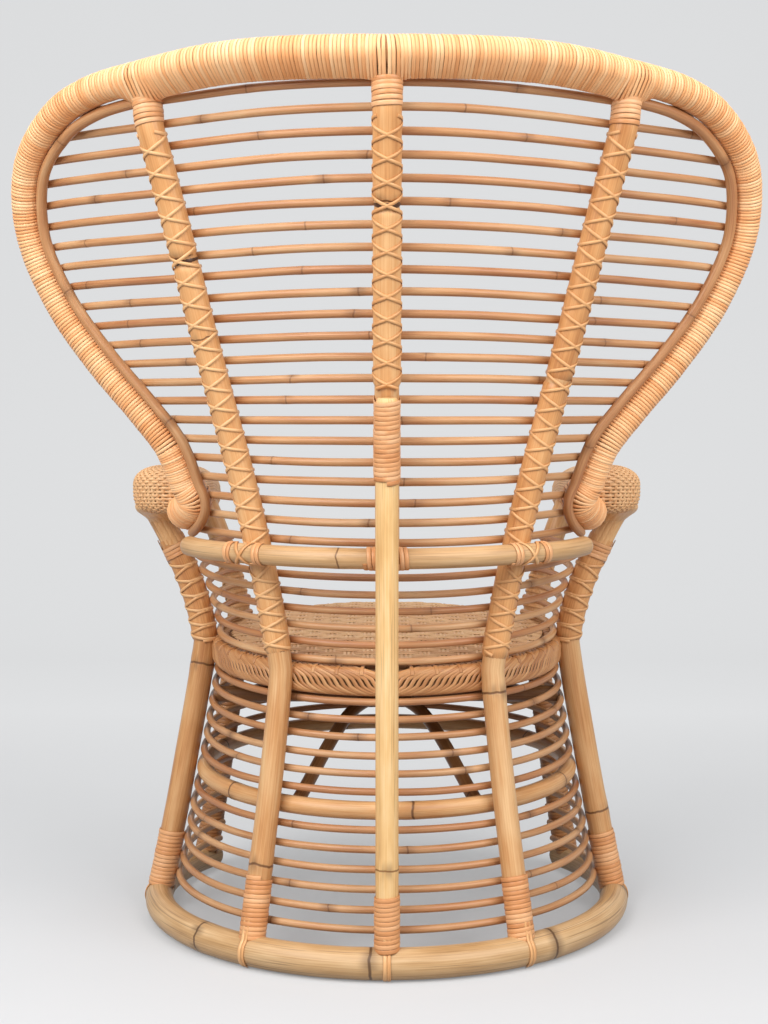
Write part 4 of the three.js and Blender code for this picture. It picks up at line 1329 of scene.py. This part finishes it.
shares = np.linspace(0, 1, 14)
panel_section = ([(PANEL_EDGE * s + 0.01, PANEL_TOP + PANEL_CROWN * (1 - s * s) - LINING_DEEP)
                  for s in shares]
                 + [(PANEL_EDGE * s + 0.01, PANEL_BOTTOM) for s in shares[::-1]])
keep(solid_piece("seat_lining", turned_rows(panel_section, 96), True, lining),
     "woven", "seat_panel")

# %% [markdown]
# ## Plaited seat border
# The border is a thick ring, covered with strips that slant over its outer face and lean the
# opposite ways on the left and the right, as if two plaits met at the back. Short upright
# stitches hold the upper edge. A slanting line on the ring's rounded section gives each strip.

# %% Seat border
BORDER_MIDDLE = BORDER_OUTER - BORDER_HALF
BORDER_BLUNT, PLAIT_PROUD, STITCH_PROUD, CORE_PROUD = 0.5, 0.2, 1.2, -0.6
PLAIT_GAP, PLAIT_SLANT, PLAIT_HALF = 1.9, 14, 128
STITCH_GAP, STITCH_LOW, STITCH_HIGH = 7.5, 20, 135


def border_section(tilt, proud):
    """Radius and height of the border's rounded section; proud lifts a strip off it."""
    return (BORDER_MIDDLE + (BORDER_HALF + proud) * blunted(np.cos(tilt), BORDER_BLUNT),
            SEAT_HEIGHT + (BORDER_TALL + proud) * blunted(np.sin(tilt), BORDER_BLUNT))


def border_strip(tilt, azimuth, proud):
    """A strip on the border: tilt goes round its section, azimuth round the seat."""
    tilt, azimuth = np.broadcast_arrays(np.radians(tilt), np.radians(azimuth))
    radius, height = border_section(tilt, proud)
    points = np.stack([radius * np.sin(azimuth), radius * np.cos(azimuth), height], -1)
    looks = np.stack([np.cos(tilt) * np.sin(azimuth), np.cos(tilt) * np.cos(azimuth),
                      np.sin(tilt)], -1)
    return strand(tilted(points), looks)


slant = np.linspace(-PLAIT_HALF, PLAIT_HALF, 22)
stitch = np.linspace(STITCH_LOW, STITCH_HIGH, 12)
plaits = [border_strip(slant, way * (start + PLAIT_SLANT * slant / PLAIT_HALF), PLAIT_PROUD)
          for way in (1, -1) for start in np.arange(0, 180, PLAIT_GAP)]
plaits += [border_strip(stitch, start, STITCH_PROUD) for start in np.arange(0, 360, STITCH_GAP)]
plait_strip = strip_finish("plait_strip", "#a36a3c", "#bd8452", "#d19f6c", edge="#4a2b15",
                           edge_share=0.75)
grow("seat_plait", strip_tree, plaits, "woven", strip_width=0.0056, strip_thickness=0.0034,
     strip_sides=8, seed=47, finish=plait_strip)
around = np.radians(np.linspace(0, 360, 28, endpoint=False))
core_section = np.stack(border_section(around, CORE_PROUD), 1)
keep(solid_piece("seat_border_core", turned_rows(core_section, 128), True, lining),
     "woven", "seat_border")

# %% [markdown]
# ## Necks below the arms
# Each side stake opens into its arm through a flared sleeve of split cane. The strips lie so
# close that it looks like one smooth skin with shallow grooves. Laid strips would open like a
# broom where the sleeve widens, so the skin is one form: ovals stacked along the stake that
# grow and shift to the back, with a groove pressed in between the strips. Inside the arm the
# ovals draw in again, so that no edge shows.

# %% Necks
SLEEVE_STRIPS, SLEEVE_POINTS, SLEEVE_LOW = 15, 120, 482
GROOVE_DEEP, GROOVE_NARROW, SLEEVE_OVER = 0.8, 8, 0.6
# The last of these is the necks' tone, set above any skin's: painted light that lightens the necks
# against the shade under the arms.
NECK_BACK, NECK_REACH, NECK_PAINTED_LIGHT = 26, 312, 1.2
FLARE, TUCK = (524, 546), (547, 562)
FLARE_WIDE, FLARE_DEEP, TUCK_WIDE, TUCK_DEEP = 6, 24, 12, 20

turns = np.linspace(0, 2 * math.pi, SLEEVE_POINTS, endpoint=False)
groove = GROOVE_DEEP * np.abs(np.cos(SLEEVE_STRIPS / 2 * turns)) ** GROOVE_NARROW
for side, name in SIDES:
    path, _ = upright(side * SIDE_ANGLE, SLEEVE_LOW, SIDE_TOP, SIDE_STAKE, 34)
    flare, tuck = ease(path[:, 2], *FLARE), ease(path[:, 2], *TUCK)
    path[:, 0] = side * np.minimum(np.abs(path[:, 0]), NECK_REACH)
    path[:, 1] += NECK_BACK * flare
    wide = SIDE_SKIN + SLEEVE_OVER + FLARE_WIDE * flare - TUCK_WIDE * tuck
    deep = SIDE_SKIN + SLEEVE_OVER + FLARE_DEEP * flare - TUCK_DEEP * tuck
    rows = np.stack([spot + np.stack([(w - groove) * np.cos(turns), (d - groove) * np.sin(turns),
                                      0 * turns], 1) for spot, w, d in zip(path, wide, deep)])
    first, last = (np.broadcast_to(path[i], rows[:1].shape) for i in (0, -1))
    sleeve = solid_piece("arm_neck_" + name, np.concatenate([first, rows, last]), False, skin_cane)
    spots = np.zeros((len(sleeve.data.vertices), 3))
    sleeve.data.vertices.foreach_get("co", spots.ravel())
    note(sleeve.data, "grain", "FLOAT_VECTOR", spots)
    # The neck's tone is painted light: it lifts the colour where the arm shades the neck.
    for label, value in (("tone", NECK_PAINTED_LIGHT), ("place", 0.5), ("spacing", 1.0)):
        note(sleeve.data, label, "FLOAT", np.full(len(spots), value))
    keep(sleeve, "pole")
